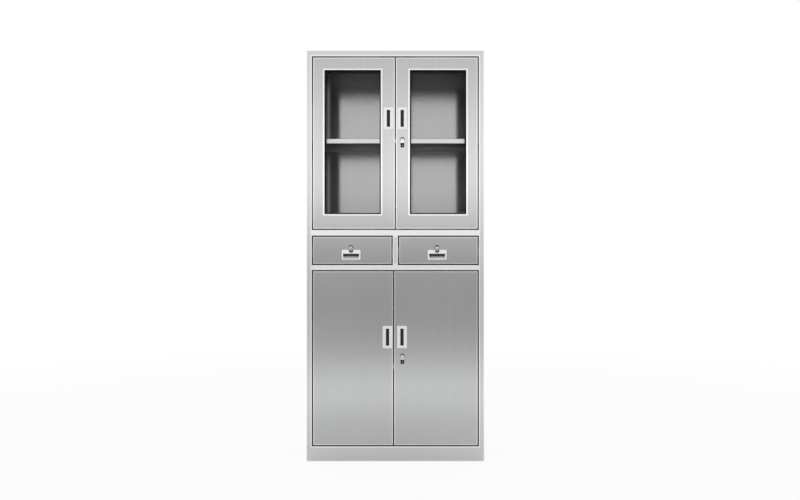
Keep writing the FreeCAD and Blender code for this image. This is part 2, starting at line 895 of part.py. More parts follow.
def doors():
    """Two glazed doors above and two solid doors below."""
    upper = ("upper_door_width", "upper_door_height", "upper_pull_inset", "upper_pull_level",
             "upper_lock_inset")
    door("upper", "left", "door_left_x", *upper)
    door("upper", "right", "upper_right_x", *upper)
    door("lower", "left", "door_left_x", "lower_left_width", "lower_door_height",
         "lower_left_pull_inset", "lower_pull_level", None)
    door("lower", "right", "lower_right_x", "lower_right_width", "lower_door_height",
         "lower_right_pull_inset", "lower_pull_level", "lower_lock_inset")


# Pulls

def pull_plate(body, width, height):
    """Plate of a flush pull with rounded corners and a softened front edge."""
    plate = add_sketch(body, "XZ_Plane")
    rectangle(plate, f"0 - {width} / 2", f"0 - {height} / 2", f"{width} / 2", f"{height} / 2")
    pad(body, plate, "plate_thickness")
    fillet(body, "plate_corner", along("Y"))
    chamfer(body, "plate_edge", in_plane("Y", "0 - plate_thickness"))


def door_pull(name, x, z):
    """Upright flush pull: a plate with a raised rim round the slot of its cup."""
    body = add_body(name, x, "face_y", z)
    pull_plate(body, "pull_width", "pull_height")
    slot = ("0 - slot_width / 2", "0 - slot_height / 2", "slot_width / 2", "slot_height / 2")
    rim = add_sketch(body, "XZ_Plane", "plate_thickness")
    rectangle(rim, *widened(slot, "rim_width"))
    pad(body, rim, "rim_rise")
    cup = add_sketch(body, "XZ_Plane")
    rectangle(cup, "0 - cup_half_width", "0 - cup_half_height", "cup_half_width", "cup_half_height")
    pad(body, cup, "cup_depth", reverse=True)
    mouth = add_sketch(body, "XZ_Plane", "plate_thickness + rim_rise")
    rectangle(mouth, *slot)
    pocket(body, mouth, "plate_thickness + rim_rise")
    room = add_sketch(body, "XZ_Plane")
    rectangle(room, *widened(slot, "cup_undercut"))
    pocket(body, room, "cup_depth - cup_wall")
    chamfer(body, "rim_edge", in_plane("Y", "0 - plate_thickness - rim_rise"))


def drawer_pull(name, x, z):
    """Level flush pull: a ramp runs in under the upper lip of its plate."""
    body = add_body(name, x, "face_y", z)
    pull_plate(body, "drawer_pull_width", "drawer_pull_height")
    cup = add_sketch(body, "XZ_Plane")
    rectangle(cup, "0 - grip_half_width", "scoop_low - cup_wall", "grip_half_width", "grip_high + cup_wall")
    pad(body, cup, "cup_depth", reverse=True)
    scoop = add_sketch(body, "YZ_Plane", "grip_width / 2")
    front = "0 - plate_thickness - overrun"
    end = "cup_depth - cup_wall"
    outline(
        scoop,
        (front, "scoop_low"),
        (front, "grip_height / 2"),
        ("0", "grip_height / 2"),
        ("0", "grip_high"),
        (end, "grip_high"),
        (end, "0 - grip_height / 2"),
        ("0 - plate_thickness", "scoop_low"),
    )
    pocket(body, scoop, "grip_width")


# Locks with folding keys

def lock_set(owner, x, z, cam_y, cam_length, bow_length, hangs):
    """Barrel, plug with the key's shank, cam and folding bow of one lock."""
    lock_barrel(f"{owner}_lock_barrel", x, z, cam_y)
    lock_plug(f"{owner}_lock_plug", x, z, cam_y)
    lock_cam(f"{owner}_lock_cam", x, z, cam_y, cam_length, hangs)
    key_bow(f"{owner}_key_bow", x, z, bow_length)


def lock_barrel(name, x, z, cam_y):
    """Turned barrel with a bezel in front of the panel."""
    body = add_body(name, x, "face_y", z)
    profile = add_sketch(body, "XY_Plane")
    bore = "plug_radius + fit_clearance"
    end = f"{cam_y} - cam_gap + barrel_tail"
    outline(
        profile,
        (bore, "0 - bezel_thickness"),
        ("bezel_diameter / 2", "0 - bezel_thickness"),
        ("bezel_diameter / 2", "0"),
        ("barrel_radius", "0"),
        ("barrel_radius", end),
        (bore, end),
    )
    revolve(body, profile)
    rim = value("bezel_diameter")
    front = in_plane("Y", "0 - bezel_thickness")
    chamfer(body, "bezel_edge", lambda edge: front(edge) and near(edge.BoundBox.XLength, rim))


def lock_plug(name, x, z, cam_y):
    """Plug with the key's shank in front, and a square neck and nut for the cam behind."""
    body = add_body(name, x, "face_y", z)
    profile = add_sketch(body, "XY_Plane")
    outline(
        profile,
        ("0", "0 - bezel_thickness"),
        ("plug_radius", "0 - bezel_thickness"),
        ("plug_radius", cam_y),
        ("0", cam_y),
    )
    revolve(body, profile)
    neck = add_sketch(body, "XZ_Plane", f"0 - {cam_y}")
    square(neck, "neck_width / 2")
    pad(body, neck, "cam_thickness", reverse=True)
    nut = add_sketch(body, "XZ_Plane", f"0 - {cam_y} - cam_thickness")
    square(nut, "cam_nut_width / 2")
    pad(body, nut, "cam_nut_height", reverse=True)
    shank = add_sketch(body, "YZ_Plane", "0 - shank_width / 2")
    rectangle(shank, "key_pin_y", "0 - bow_thickness / 2", "0 - bezel_thickness", "bow_thickness / 2")
    pad(body, shank, "shank_width")
    knuckle = add_sketch(body, "YZ_Plane", "0 - shank_width / 2")
    circle(knuckle, "key_pin_y", "0", "bow_thickness / 2")
    pad(body, knuckle, "shank_width")
    pin = add_sketch(body, "YZ_Plane", "0 - bow_width / 2")
    circle(pin, "key_pin_y", "0", "key_pin_diameter / 2")
    pad(body, pin, "bow_width")


def lock_cam(name, x, z, cam_y, length, hangs):
    """Flat cam, hanging down on a door and lying level on a drawer when unlocked."""
    body = add_body(name, x, f"face_y + {cam_y}", z)
    half = "cam_width / 2"
    tip = f"0 - {length}"
    left, low = (f"0 - {half}", tip) if hangs else (tip, f"0 - {half}")
    blade = add_sketch(body, "XZ_Plane")
    rectangle(blade, left, low, half, half)
    pad(body, blade, "cam_thickness", reverse=True)
    fillet(body, "cam_corner", along("Y"))
    hole = add_sketch(body, "XZ_Plane")
    square(hole, "(neck_width / 2 + fit_clearance)")
    pocket(body, hole, "cam_thickness")


def key_bow(name, x, z, length):
    """Moulded bow of the key, folded down against the panel on its pin."""
    body = add_body(name, x, "face_y + key_pin_y", z)
    half_width = "bow_width / 2"
    half_thick = "bow_thickness / 2"
    face = add_sketch(body, "XZ_Plane", f"0 - {half_thick}")
    rectangle(face, f"0 - {half_width}", f"0 - {length}", half_width, half_thick)
    circle(face, "0", f"ring_hole_inset - {length}", "ring_hole_diameter / 2")
    pad(body, face, "bow_thickness")
    fillet(body, "bow_corner", along("Y", in_plane("Z", f"0 - {length}")))
    fillet(body, "bow_thickness * ear_round_share", along("X", in_plane("Z", half_thick)))
    notch = add_sketch(body, "XZ_Plane", half_thick)
    side = "(shank_width / 2 + ear_gap)"
    rectangle(notch, f"0 - {side}", f"0 - {half_thick} - ear_gap", side, half_thick)
    pocket(body, notch, "bow_thickness")
    bore = add_sketch(body, "YZ_Plane", half_width)
    circle(bore, "0", "0", "key_pin_diameter / 2 + fit_clearance")
    pocket(body, bore, "bow_width")


# Drawers

def channel(name, spot, web_side, near_x, far_x, height):
    """One folded slide member, open on the side away from its web."""
    body = add_body(name, *spot, node=False)
    half = f"{height} / 2"
    web_out, web_in, rim = near_x, f"{near_x} + slide_gauge", far_x
    if web_side == "far":
        web_out, web_in, rim = far_x, f"{far_x} - slide_gauge", near_x
    profile = add_sketch(body, "XZ_Plane")
    outline(
        profile,
        (web_out, f"0 - {half}"),
        (rim, f"0 - {half}"),
        (rim, f"slide_gauge - {half}"),
        (web_in, f"slide_gauge - {half}"),
        (web_in, f"{half} - slide_gauge"),
        (rim, f"{half} - slide_gauge"),
        (rim, half),
        (web_out, half),
    )
    pad(body, profile, "slide_length", reverse=True)
    return body


def slide_pair(name, left_x, right_x, web_side, near_x, far_x, height):
    """The same slide member on both sides of a drawer."""
    first = channel(f"{name}_near", (left_x, "slide_y", "slide_z"), web_side, near_x, far_x, height)
    second = copy_of(first, f"{name}_far", right_x, "slide_y + slide_length", "slide_z", Z_AXIS)
    return [first, second]


def drawer(side, front_x, left_x, right_x):
    """One drawer with its front, tray, pull, lock and slides; returns the fixed members."""
    name = f"{side}_drawer"
    spot = (front_x, "face_y", "drawer_z")
    middle = "drawer_fitting_x"
    front = add_body(f"{name}_front", *spot)
    pan(front, "drawer_width", "drawer_height")
    cut_for_pull(front, middle, "drawer_pull_level", "grip_half_width", "(scoop_low - cup_wall)",
                 "(grip_high + cup_wall)")
    cut_for_lock(front, middle, "drawer_lock_level", "0", "sheet + overrun")
    drawer_tray(f"{name}_tray", spot)
    drawer_pull(f"{name}_pull", f"{front_x} + {middle}", "drawer_z + drawer_pull_level")
    lock_set(name, f"{front_x} + {middle}", "drawer_z + drawer_lock_level", "drawer_cam_y",
             "drawer_cam_length", "drawer_bow_length", hangs=False)
    sides = (left_x, right_x)
    fixed = slide_pair(f"{name}_outer", *sides, "near", "0", "channel_reach", "slide_height")
    group(f"{name}_middle_slides",
          slide_pair(f"{name}_middle", *sides, "near", "middle_x", "channel_reach", "middle_height"))
    group(f"{name}_inner_slides",
          slide_pair(f"{name}_inner", *sides, "far", "inner_x", "slide_thickness", "inner_height"))
    return fixed


def drawer_tray(name, spot):
    """Folded trough with a welded back, and a front wall that closes the drawer front."""
    wall = add_body(f"{name}_wall", *spot, node=False)
    face = add_sketch(wall, "XZ_Plane", "0 - door_thickness")
    rectangle(face, "sheet", "sheet", "drawer_width - sheet", "drawer_height - sheet")
    pad(wall, face, "sheet", reverse=True)
    cut_for_lock(wall, "drawer_fitting_x", "drawer_lock_level", "0 - door_thickness", "sheet")
    left = "slide_thickness - door_gap"
    right = "drawer_width + door_gap - slide_thickness"
    low = "tray_floor_gap"
    high = "tray_floor_gap + tray_height"
    trough = add_body(f"{name}_trough", *spot, node=False)
    profile = add_sketch(trough, "XZ_Plane", "0 - door_thickness - sheet")
    outline(
        profile,
        (left, low),
        (right, low),
        (right, high),
        (f"{right} - sheet", high),
        (f"{right} - sheet", f"{low} + sheet"),
        (f"{left} + sheet", f"{low} + sheet"),
        (f"{left} + sheet", high),
        (left, high),
    )
    pad(trough, profile, "tray_length - sheet", reverse=True)
    back = add_body(f"{name}_back", *spot, node=False)
    end = add_sketch(back, "XZ_Plane", "0 - door_thickness - tray_length")
    rectangle(end, left, low, right, high)
    pad(back, end, "sheet", reverse=True)
    group(name, [wall, trough, back])


def drawers():
    """Two drawers side by side and the slide members fixed in the carcass."""
    fixed = drawer("left", "door_left_x", "0 - opening_half", "0 - post_width / 2")
    fixed += drawer("right", "drawer_right_x", "post_width / 2", "opening_half")
    group("outer_slides", fixed)


def export():
    """Check every object and write each node to its own file."""
    doc.recompute()
    for thing in doc.Objects:
        if "Invalid" in thing.State or "Error" in thing.State:
            raise RuntimeError(f"{thing.Label} could not be worked out: {thing.State}")
    os.makedirs("parts", exist_ok=True)
    for node in nodes:
        if node.Shape.isNull() or not node.Shape.isValid():
            raise RuntimeError(f"{node.Label} has no sound shape")
        node.Shape.exportStep(f"parts/{node.Label}.step")


front_frame()
side_panels()
back_panel()
decks()
drawer_partition()
slide_cheeks()
shelves()
shelf_standards()
shelf_clips()
pivot_bushes()
magnetic_catches()
doors()
drawers()
export()
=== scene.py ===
"""Looks of a stainless steel anesthesia cabinet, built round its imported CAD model."""
import json
import math
from collections import namedtuple

import bmesh
import bpy
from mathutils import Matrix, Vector


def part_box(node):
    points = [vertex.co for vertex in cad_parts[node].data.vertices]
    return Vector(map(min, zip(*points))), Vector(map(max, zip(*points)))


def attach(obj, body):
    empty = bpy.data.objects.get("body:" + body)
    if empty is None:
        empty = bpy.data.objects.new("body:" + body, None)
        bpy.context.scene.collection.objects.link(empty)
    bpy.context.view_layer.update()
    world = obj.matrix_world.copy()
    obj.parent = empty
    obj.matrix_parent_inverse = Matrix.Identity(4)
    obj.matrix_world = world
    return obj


bl_info = {
    "name": "Anesthesia cabinet looks",
    "version": (1, 0, 0),
    "blender": (4, 5, 0),
    "location": "View3D > Sidebar > Cabinet",
    "description": "Finishes, fasteners, glazing trim and studio for a steel cabinet",
    "category": "Object",
}

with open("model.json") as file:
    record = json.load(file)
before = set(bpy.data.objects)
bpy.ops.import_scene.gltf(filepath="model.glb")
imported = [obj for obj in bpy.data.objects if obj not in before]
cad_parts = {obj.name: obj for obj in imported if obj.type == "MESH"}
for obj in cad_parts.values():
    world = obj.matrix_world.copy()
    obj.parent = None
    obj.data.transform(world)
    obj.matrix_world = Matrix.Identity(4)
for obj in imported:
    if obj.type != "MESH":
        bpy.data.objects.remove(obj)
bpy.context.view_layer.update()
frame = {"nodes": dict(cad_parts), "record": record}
NODES = frame["nodes"]
SLOTS = {row["node"]: row["material_slot"] for row in frame["record"]["subparts"]}
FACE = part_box("front_frame")[0].y
DOORS = ("upper_left", "upper_right", "lower_left", "lower_right")
DRAWERS = ("left_drawer", "right_drawer")
LOCKS = ("upper", "lower") + DRAWERS

# Sizes of the cabinet that its boxes don't give, in metres
SHEET = 0.001
DOOR_GAP = 0.004
GLASS_OVERLAP = 0.008
SLIDE_AND_TRAY_WALL = 0.0105
STANDARD_THICKNESS = 0.002
STANDARD_HALF_WIDTH = 0.011
STANDARD_RIVET_INSET = 0.016
BACK_RIVET_INSET = 0.045
SLIDE_RIVET_INSET = 0.05

# Shares of a sheet's colour for painted highlights and painted shade, in zones and in whole copies
EDGE_SHINE = 1.5
FRAME_SHINE = 1.33
BACK_SHINE = 1.2
FOLD_SHADE = 0.35
INNER_SHADE = 0.7
LINER_SHADE = 0.75
PLATE_SHADE = 0.94

# Where such zones start and end, in metres
OUTLINE_WIDTH = 0.003
BEND_WIDTH = 0.0006
RETURN_INSET = 0.002
EDGE_SOFT = 0.001
INLAY_SOFT = 0.0006
LINE_SOFT = 0.0004
FOLD_DEPTHS = (0.0004, 0.0012)
SEAM_INSETS = (0.004, 0.002)
WALL_INSETS = (0.0008, 0.0004)
REAR_INSETS = (0.002, 0.0015)
HANGING_DROPS = (0.004, 0.003)
LOCK_RING = (0.0053, 0.0107)
UPRIGHT_CUP_START = 0.0002
LEVEL_CUP_START = 0.011
PLATE_START = 0.0006

# How far a face has to look down to take the painted shade: the upright part of its normal, from none to
# full shade
DOWNWARD = (0.5, 0.8)

# What the dark zones add to the roughness: painted shade underneath, painted shade in the pulls' cups, and
# black on locks and keys
SHADE_DULLING = 0.35
CUP_DULLING = 0.3
BLACK_DULLING = 0.4

# Share of the light that a pane mirrors when it is seen straight on
PANE_MIRROR = 0.04

# Colours that stay as they are
WHITE = (1, 1, 1, 1)
# Black of the keys' bows, and of the painted dark reflection on the lock bezels
BLACK = (0.012, 0.012, 0.013, 1)
# Black painted shade in the cups of the pulls
CUP_SHADE = (0.04, 0.04, 0.04, 1)
# Dark grey of the painted shade under shelves, top and lower deck
UNDERSIDE_SHADE_COLOUR = (0.09, 0.09, 0.092, 1)
RUBBER = (0.008, 0.008, 0.008, 1)
NYLON = (0.05, 0.05, 0.055, 1)
CATCH_CASE = (0.10, 0.10, 0.11, 1)
# Darker than the zinc, as painted shade that makes the rivet heads stand out
RIVET = (0.36, 0.365, 0.37, 1)
PANE_SHEEN = (0.02, 0.025, 0.024, 1)
FLOOR_TONES = ((0.74, 0.74, 0.74, 1), (0.78, 0.78, 0.78, 1))

# Grain of a sheet: how fine its lines and streaks are along each axis, how far it draws out
# reflections, and by what share of a full turn that is turned
Grain = namedtuple("Grain", "lines streaks strength turn")
UPRIGHT = Grain((1400, 1400, 9), (130, 130, 1.2), 0.55, 0.0)
ACROSS = Grain((9, 1400, 1400), (1.2, 130, 130), 0.9, 0.25)

# A zone of a sheet: its mask, its share of the sheet's colour and what it adds to the roughness
Zone = namedtuple("Zone", "mask share dulling", defaults=(0.0,))

# Outline of a piece or an opening in the doors' plane
Rim = namedtuple("Rim", "left low right high")

# Details of the meshes
BEAD_STEPS = 5
RIVET_SEGMENTS = 12
RIVET_RINGS = 6
FLOOR_SEGMENTS = 96

# Floor and lamp, in metres
FLOOR_RADIUS = 6.0
FLOOR_FADE = (2.9, 4.5)
FLOOR_MIRRORED = (1.2, 2.1)
LAMP_PLACE = (-1.6, -4.6, 3.4)
LAMP_TARGET = (0, 0, 1.0)
LAMP_SIZE = (3.0, 2.0)

# Share of plain white in what the camera sees of the floor
FLOOR_SHOWN = 0.91

# Width of the camera's sensor, in millimetres
SENSOR_WIDTH = 36.0

# Where the mirrored wall begins and is full, as the forward part of a direction
WALL_SPREAD = (0.45, 0.8)

# Greys of that wall, at places from 0, straight down, to 1, straight up
WALL_GREYS = (
    (0.41, 1.0),
    (0.44, 0.48),
    (0.475, 0.34),
    (0.500, 0.26),
    (0.510, 0.42),
    (0.518, 1.0),
    (0.526, 1.6),
    (0.535, 1.6),
    (0.555, 1.32),
    (0.575, 1.05),
    (0.595, 0.85),
    (0.62, 0.70),
    (1.0, 0.70),
)


# Shader maths

class Wire:
    """A value socket that can be written in sums."""

    def __init__(self, tree, socket):
        self.tree = tree
        self.socket = socket

    def maths(self, operation, *others, clamp=False):
        """Join this value and others in one Math node."""
        settings = {"operation": operation, "use_clamp": clamp}
        inputs = dict(enumerate((self,) + others))
        return self.tree.wire("ShaderNodeMath", settings, inputs)

    def __add__(self, other):
        return self.maths("ADD", other)

    __radd__ = __add__

    def __sub__(self, other):
        return self.maths("SUBTRACT", other)

    def __rsub__(self, other):
        return (self * -1) + other

    def __mul__(self, other):
        return self.maths("MULTIPLY", other)

    __rmul__ = __mul__

    def __truediv__(self, other):
        return self.maths("DIVIDE", other)

    def __abs__(self):
        return self.maths("ABSOLUTE")

    def ramp(self, low, high):
        """Rise from 0 at low to 1 at high."""
        return ((self - low) / (high - low)).maths("ADD", 0.0, clamp=True)


def lay_stops(ramp, stops):
    """Lay the stops of a colour ramp, given as places and greys."""
    while len(ramp.elements) < len(stops):
        ramp.elements.new(0.5)
    for element, (place, level) in zip(ramp.elements, stops):
        element.position = place
        element.color = (level, level, level, 1)


class Tree:
    """A shader tree of a material or a world."""

    def __init__(self, owner):
        owner.use_nodes = True
        self.nodes = owner.node_tree.nodes
        self.links = owner.node_tree.links
        self.nodes.clear()

    def feed(self, socket, source):
        """Link a socket to a value or another socket, or set it to a constant."""
        if isinstance(source, Wire):
            self.links.new(source.socket, socket)
        elif isinstance(source, bpy.types.NodeSocket):
            self.links.new(source, socket)
        else:
            socket.default_value = source

    def node(self, kind, settings=None, inputs=None):
        """Add a node, set it up, then fill or link its sockets."""
        made = self.nodes.new(kind)
        for name, setting in (settings or {}).items():
            if name == "stops":
                lay_stops(made.color_ramp, setting)
            else:
                setattr(made, name, setting)
        for name, source in (inputs or {}).items():
            self.feed(made.inputs[name], source)
        return made

    def wire(self, kind, settings=None, inputs=None, output=0):
        """Add a node and take one of its outputs as a value."""
        return Wire(self, self.node(kind, settings, inputs).outputs[output])

    def place(self):
        """Take the point on the surface, in the cabinet's own frame."""
        return self.node("ShaderNodeTexCoord").outputs["Object"]

    def parts(self, vector):
        """Split a vector in its three values."""
        split = self.node("ShaderNodeSeparateXYZ", inputs={0: vector})
        return [Wire(self, output) for output in split.outputs]

    def rays(self, *names):
        """Take tests of the light path as values."""
        tests = self.node("ShaderNodeLightPath").outputs
        return [Wire(self, tests[name]) for name in names]

    def inside(self, spot, rim, margin, soft):
        """1 within a rectangle of the doors' plane that a margin widens, 0 outside it."""
        x, _, z = self.parts(spot)
        across = (rim.right - rim.left) / 2 + margin - abs(x - (rim.left + rim.right) / 2)
        upward = (rim.high - rim.low) / 2 + margin - abs(z - (rim.low + rim.high) / 2)
        return across.maths("MINIMUM", upward).ramp(0.0, soft)

    def noise(self, vector, scale, detail=2.0, stretch=(1, 1, 1)):
        """Soft noise, finer along the axes that stretch enlarges."""
        mapping = self.node("ShaderNodeMapping", inputs={"Vector": vector, "Scale": stretch})
        inputs = {"Vector": mapping.outputs[0], "Scale": scale, "Detail": detail}
        return self.wire("ShaderNodeTexNoise", inputs=inputs)

    def blend(self, factor, first, second):
        """Mix two colours by a value."""
        mix = self.node("ShaderNodeMix", {"data_type": "RGBA"}, {0: factor, 6: first, 7: second})
        return mix.outputs[2]

    def vary(self, factor, colour, darkest, lightest):
        """Vary a colour between two shares of itself."""
        return self.blend(factor, grey(colour, darkest), grey(colour, lightest))

    def mix_shaders(self, factor, first, second):
        """Mix two shaders by a value."""
        inputs = {0: factor, 1: first.outputs[0], 2: second.outputs[0]}
        return self.node("ShaderNodeMixShader", inputs=inputs)

    def bump(self, height, strength, distance):
        """Turn a height into a normal."""
        inputs = {"Height": height, "Strength": strength, "Distance": distance}
        return self.node("ShaderNodeBump", inputs=inputs).outputs[0]


def grey(colour, share):
    """Scale a colour and keep it opaque."""
    return tuple(min(1.0, part * share) for part in colour[:3]) + (1.0,)


def around(middle, noise, spread):
    """Let noise move a value to both sides of its middle."""
    return middle + spread * (noise - 0.5)


def new_finish(name):
    """Start a material with one shader and its output."""
    material = bpy.data.materials.new(name)
    tree = Tree(material)
    shader = tree.node("ShaderNodeBsdfPrincipled")
    tree.node("ShaderNodeOutputMaterial", inputs={"Surface": shader.outputs[0]})
    return material, tree, shader


def fill(tree, shader, **values):
    """Set or link the sockets of a shader by name."""
    for name, source in values.items():
        tree.feed(shader.inputs[name.replace("_", " ")], source)


# Zones of a surface

def rim_of(node, margin):
    """Outline of a node in the doors' plane, widened by a margin."""
    low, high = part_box(node)
    return Rim(low.x - margin, low.z - margin, high.x + margin, high.z + margin)


def ring_mask(centre, inner, outer):
    """Mask of a ring round a point, seen from the front."""

    def mask(tree, spot):
        x, _, z = tree.parts(spot)
        across = x - centre.x
        upward = z - centre.z
        radius = (across * across + upward * upward).maths("SQRT")
        return radius.ramp(inner, inner + LINE_SOFT) * (1 - radius.ramp(outer, outer + LINE_SOFT))

    return mask


def inlay_mask(rim):
    """Mask of an inlay in the doors' plane."""
    return lambda tree, spot: tree.inside(spot, rim, 0.0, INLAY_SOFT)


def fold_mask(tree, spot):
    """Mask of what folds back from the plane that the doors, drawers and frame share."""
    start, end = FOLD_DEPTHS
    return tree.parts(spot)[1].ramp(FACE + start, FACE + end)


def return_mask(outline):
    """Mask of the returns round the openings of the frame, without its outer walls."""
    return lambda tree, spot: fold_mask(tree, spot) * tree.inside(spot, outline, -RETURN_INSET, EDGE_SOFT)


def border_mask(rim, width):
    """Mask of the border inside a panel's edges."""
    return lambda tree, spot: (1 - tree.inside(spot, rim, -width, EDGE_SOFT)) * (1 - fold_mask(tree, spot))


def reveal_mask(rims, width):
    """Mask of the border outside several openings."""

    def mask(tree, spot):
        total = tree.inside(spot, rims[0], width, EDGE_SOFT)
        for rim in rims[1:]:
            total = total.maths("MAXIMUM", tree.inside(spot, rim, width, EDGE_SOFT))
        return total * (1 - fold_mask(tree, spot))

    return mask


def seam_mask(half):
    """Mask of the lines where the folded edges of the side panels lie on the back sheet."""
    start, end = SEAM_INSETS
    return lambda tree, spot: abs(tree.parts(spot)[0]).ramp(half - start, half - end)


def inner_mask(half, rear):
    """Mask of the inside of a side panel, between the outer sheets and the back."""

    def mask(tree, spot):
        x, y, _ = tree.parts(spot)
        outer = abs(x).ramp(half - WALL_INSETS[0], half - WALL_INSETS[1])
        back = y.ramp(rear - REAR_INSETS[0], rear - REAR_INSETS[1])
        return (1 - outer) * (1 - back)

    return mask


def underside_mask(tree, spot):
    """Mask of the faces that look down, which take painted shade."""
    facing = tree.node("ShaderNodeTexCoord").outputs["Normal"]
    return (tree.parts(facing)[2] * -1).ramp(*DOWNWARD)


def hanging_shade_mask(top):
    """Mask of a panel's underside and of the walls that hang from it, which take painted shade."""
    start, end = HANGING_DROPS

    def mask(tree, spot):
        walls = 1 - tree.parts(spot)[2].ramp(top - start, top - end)
        return underside_mask(tree, spot).maths("MAXIMUM", walls)

    return mask


# Finishes

def brushed_steel(name, colour, roughness, spread=0.10, zones=(), underside_shade=None, grain=UPRIGHT):
    """Stainless sheet with its grain, streaks and wiping marks, zones of painted highlight and painted
    shade, some rougher, and dark non-metal painted shade where a mask says so.
    """
    material, tree, shader = new_finish(name)
    spot = tree.place()
    fine = tree.noise(spot, scale=1.0, detail=3.0, stretch=grain.lines)
    streak = tree.noise(spot, scale=1.0, detail=2.0, stretch=grain.streaks)
    wipe = tree.noise(spot, scale=2.3, detail=3.0)
    tone = 0.45 * fine + 0.35 * streak + 0.2 * wipe
    steel = tree.vary(tone, colour, darkest=0.90, lightest=1.08)
    metal = 1.0
    gloss = around(roughness, 0.5 * fine + 0.5 * wipe, spread)
    for zone in zones:
        there = zone.mask(tree, spot)
        steel = tree.blend(there, steel, grey(colour, zone.share))
        if zone.dulling:
            gloss = gloss + zone.dulling * there
    # Painted shade: dark, rougher and not metallic where the mask says so
    if underside_shade:
        in_shade = underside_shade(tree, spot)
        steel = tree.blend(in_shade, steel, UNDERSIDE_SHADE_COLOUR)
        metal = 1 - in_shade
        gloss = gloss + SHADE_DULLING * in_shade
    fill(
        tree, shader,
        Base_Color=steel,
        Metallic=metal,
        Roughness=gloss,
        Anisotropic=grain.strength,
        Anisotropic_Rotation=grain.turn,
        Normal=tree.bump(fine, strength=0.06, distance=0.0002),
    )
    return material


def folded_panel(name, colour, rim, steel):
    """Brushed panel with a painted highlight along its border, and painted shade along its bends and on its
    folds.
    """
    zones = (
        Zone(border_mask(rim, steel.edge_width), EDGE_SHINE),
        Zone(border_mask(rim, BEND_WIDTH), FOLD_SHADE),
        Zone(fold_mask, FOLD_SHADE),
    )
    return brushed_steel(name, colour, steel.sheet_roughness, zones=zones)


def bright_steel(name, colour, roughness, cup_from, plate_from=None):
    """Pressed pull plate of bright steel, with painted shade on the plate behind its rim and black painted
    shade in its cup.
    """
    material, tree, shader = new_finish(name)
    spot = tree.place()
    depth = tree.parts(spot)[1]
    cup = depth.ramp(cup_from, cup_from + LINE_SOFT)
    fine = tree.noise(spot, scale=1.0, detail=2.0, stretch=(900, 900, 30))
    steel = tree.vary(fine, colour, darkest=0.95, lightest=1.05)
    # Painted shade on the plate behind the raised rim
    if plate_from is not None:
        plate = depth.ramp(plate_from, plate_from + LINE_SOFT)
        steel = tree.blend(plate, steel, grey(colour, PLATE_SHADE))
    fill(
        tree, shader,
        Base_Color=tree.blend(cup, steel, CUP_SHADE),
        Metallic=1 - cup,
        Roughness=around(roughness, fine, spread=0.06) + CUP_DULLING * cup,
        Normal=tree.bump(fine, strength=0.05, distance=0.0002),
    )
    return material


def plated(name, colour, roughness):
    """Zinc plate with a faint spangle."""
    material, tree, shader = new_finish(name)
    spot = tree.place()
    crystals = {"Vector": spot, "Scale": 160.0}
    spangle = tree.wire("ShaderNodeTexVoronoi", {"feature": "F1"}, crystals, output=1)
    cloud = tree.noise(spot, scale=40.0, detail=2.0)
    tone = 0.6 * spangle + 0.4 * cloud
    fill(
        tree, shader,
        Base_Color=tree.vary(tone, colour, darkest=0.86, lightest=1.08),
        Metallic=1.0,
        Roughness=around(roughness, tone, spread=0.12),
        Normal=tree.bump(cloud, strength=0.04, distance=0.0002),
    )
    return material


def chrome(name, colour, dark=None):
    """Chrome plate with finger haze, and black where a mask says so: painted dark reflection on a lock's
    bezel, black plastic on a key's bow.
    """
    material, tree, shader = new_finish(name)
    spot = tree.place()
    haze = tree.noise(spot, scale=260.0, detail=3.0)
    plate = tree.vary(haze, colour, darkest=0.95, lightest=1.03)
    metal = 1.0
    roughness = 0.08 + 0.12 * haze
    if dark:
        black = dark(tree, spot)
        plate = tree.blend(black, plate, BLACK)
        metal = 1 - black
        roughness = roughness + BLACK_DULLING * black
    fill(
        tree, shader,
        Base_Color=plate,
        Metallic=metal,
        Roughness=roughness,
        Specular_IOR_Level=0.1,
        Normal=tree.bump(haze, strength=0.02, distance=0.0002),
    )
    return material


def moulded(name, colour, roughness, texture, shine=0.5):
    """Moulded plastic or rubber with a fine eroded skin."""
    material, tree, shader = new_finish(name)
    spot = tree.place()
    skin = tree.noise(spot, scale=texture, detail=3.0)
    cloud = tree.noise(spot, scale=60.0, detail=2.0)
    tone = 0.5 * skin + 0.5 * cloud
    fill(
        tree, shader,
        Base_Color=tree.vary(tone, colour, darkest=0.75, lightest=1.25),
        Roughness=around(roughness, tone, spread=0.15),
        Specular_IOR_Level=shine,
        Normal=tree.bump(skin, strength=0.12, distance=0.0003),
    )
    return material


def window_glass(name, tint):
    """Clear pane: see-through, with a sheen that grows as it is seen more aslant."""
    material = bpy.data.materials.new(name)
    tree = Tree(material)
    haze = tree.noise(tree.place(), scale=6.0, detail=3.0)
    clear = tree.node("ShaderNodeBsdfTransparent", inputs={"Color": tint})
    sheen = tree.node("ShaderNodeBsdfPrincipled")
    fill(
        tree, sheen,
        Base_Color=PANE_SHEEN,
        Roughness=0.015 + 0.03 * haze,
        Specular_IOR_Level=1.0,
    )
    slant = tree.wire("ShaderNodeLayerWeight", inputs={"Blend": 0.5}, output=1)
    glance = PANE_MIRROR + (1 - PANE_MIRROR) * slant.maths("POWER", 5.0)
    pane = tree.mix_shaders(glance, clear, sheen)
    tree.node("ShaderNodeOutputMaterial", inputs={"Surface": pane.outputs[0]})
    return material


# Settings

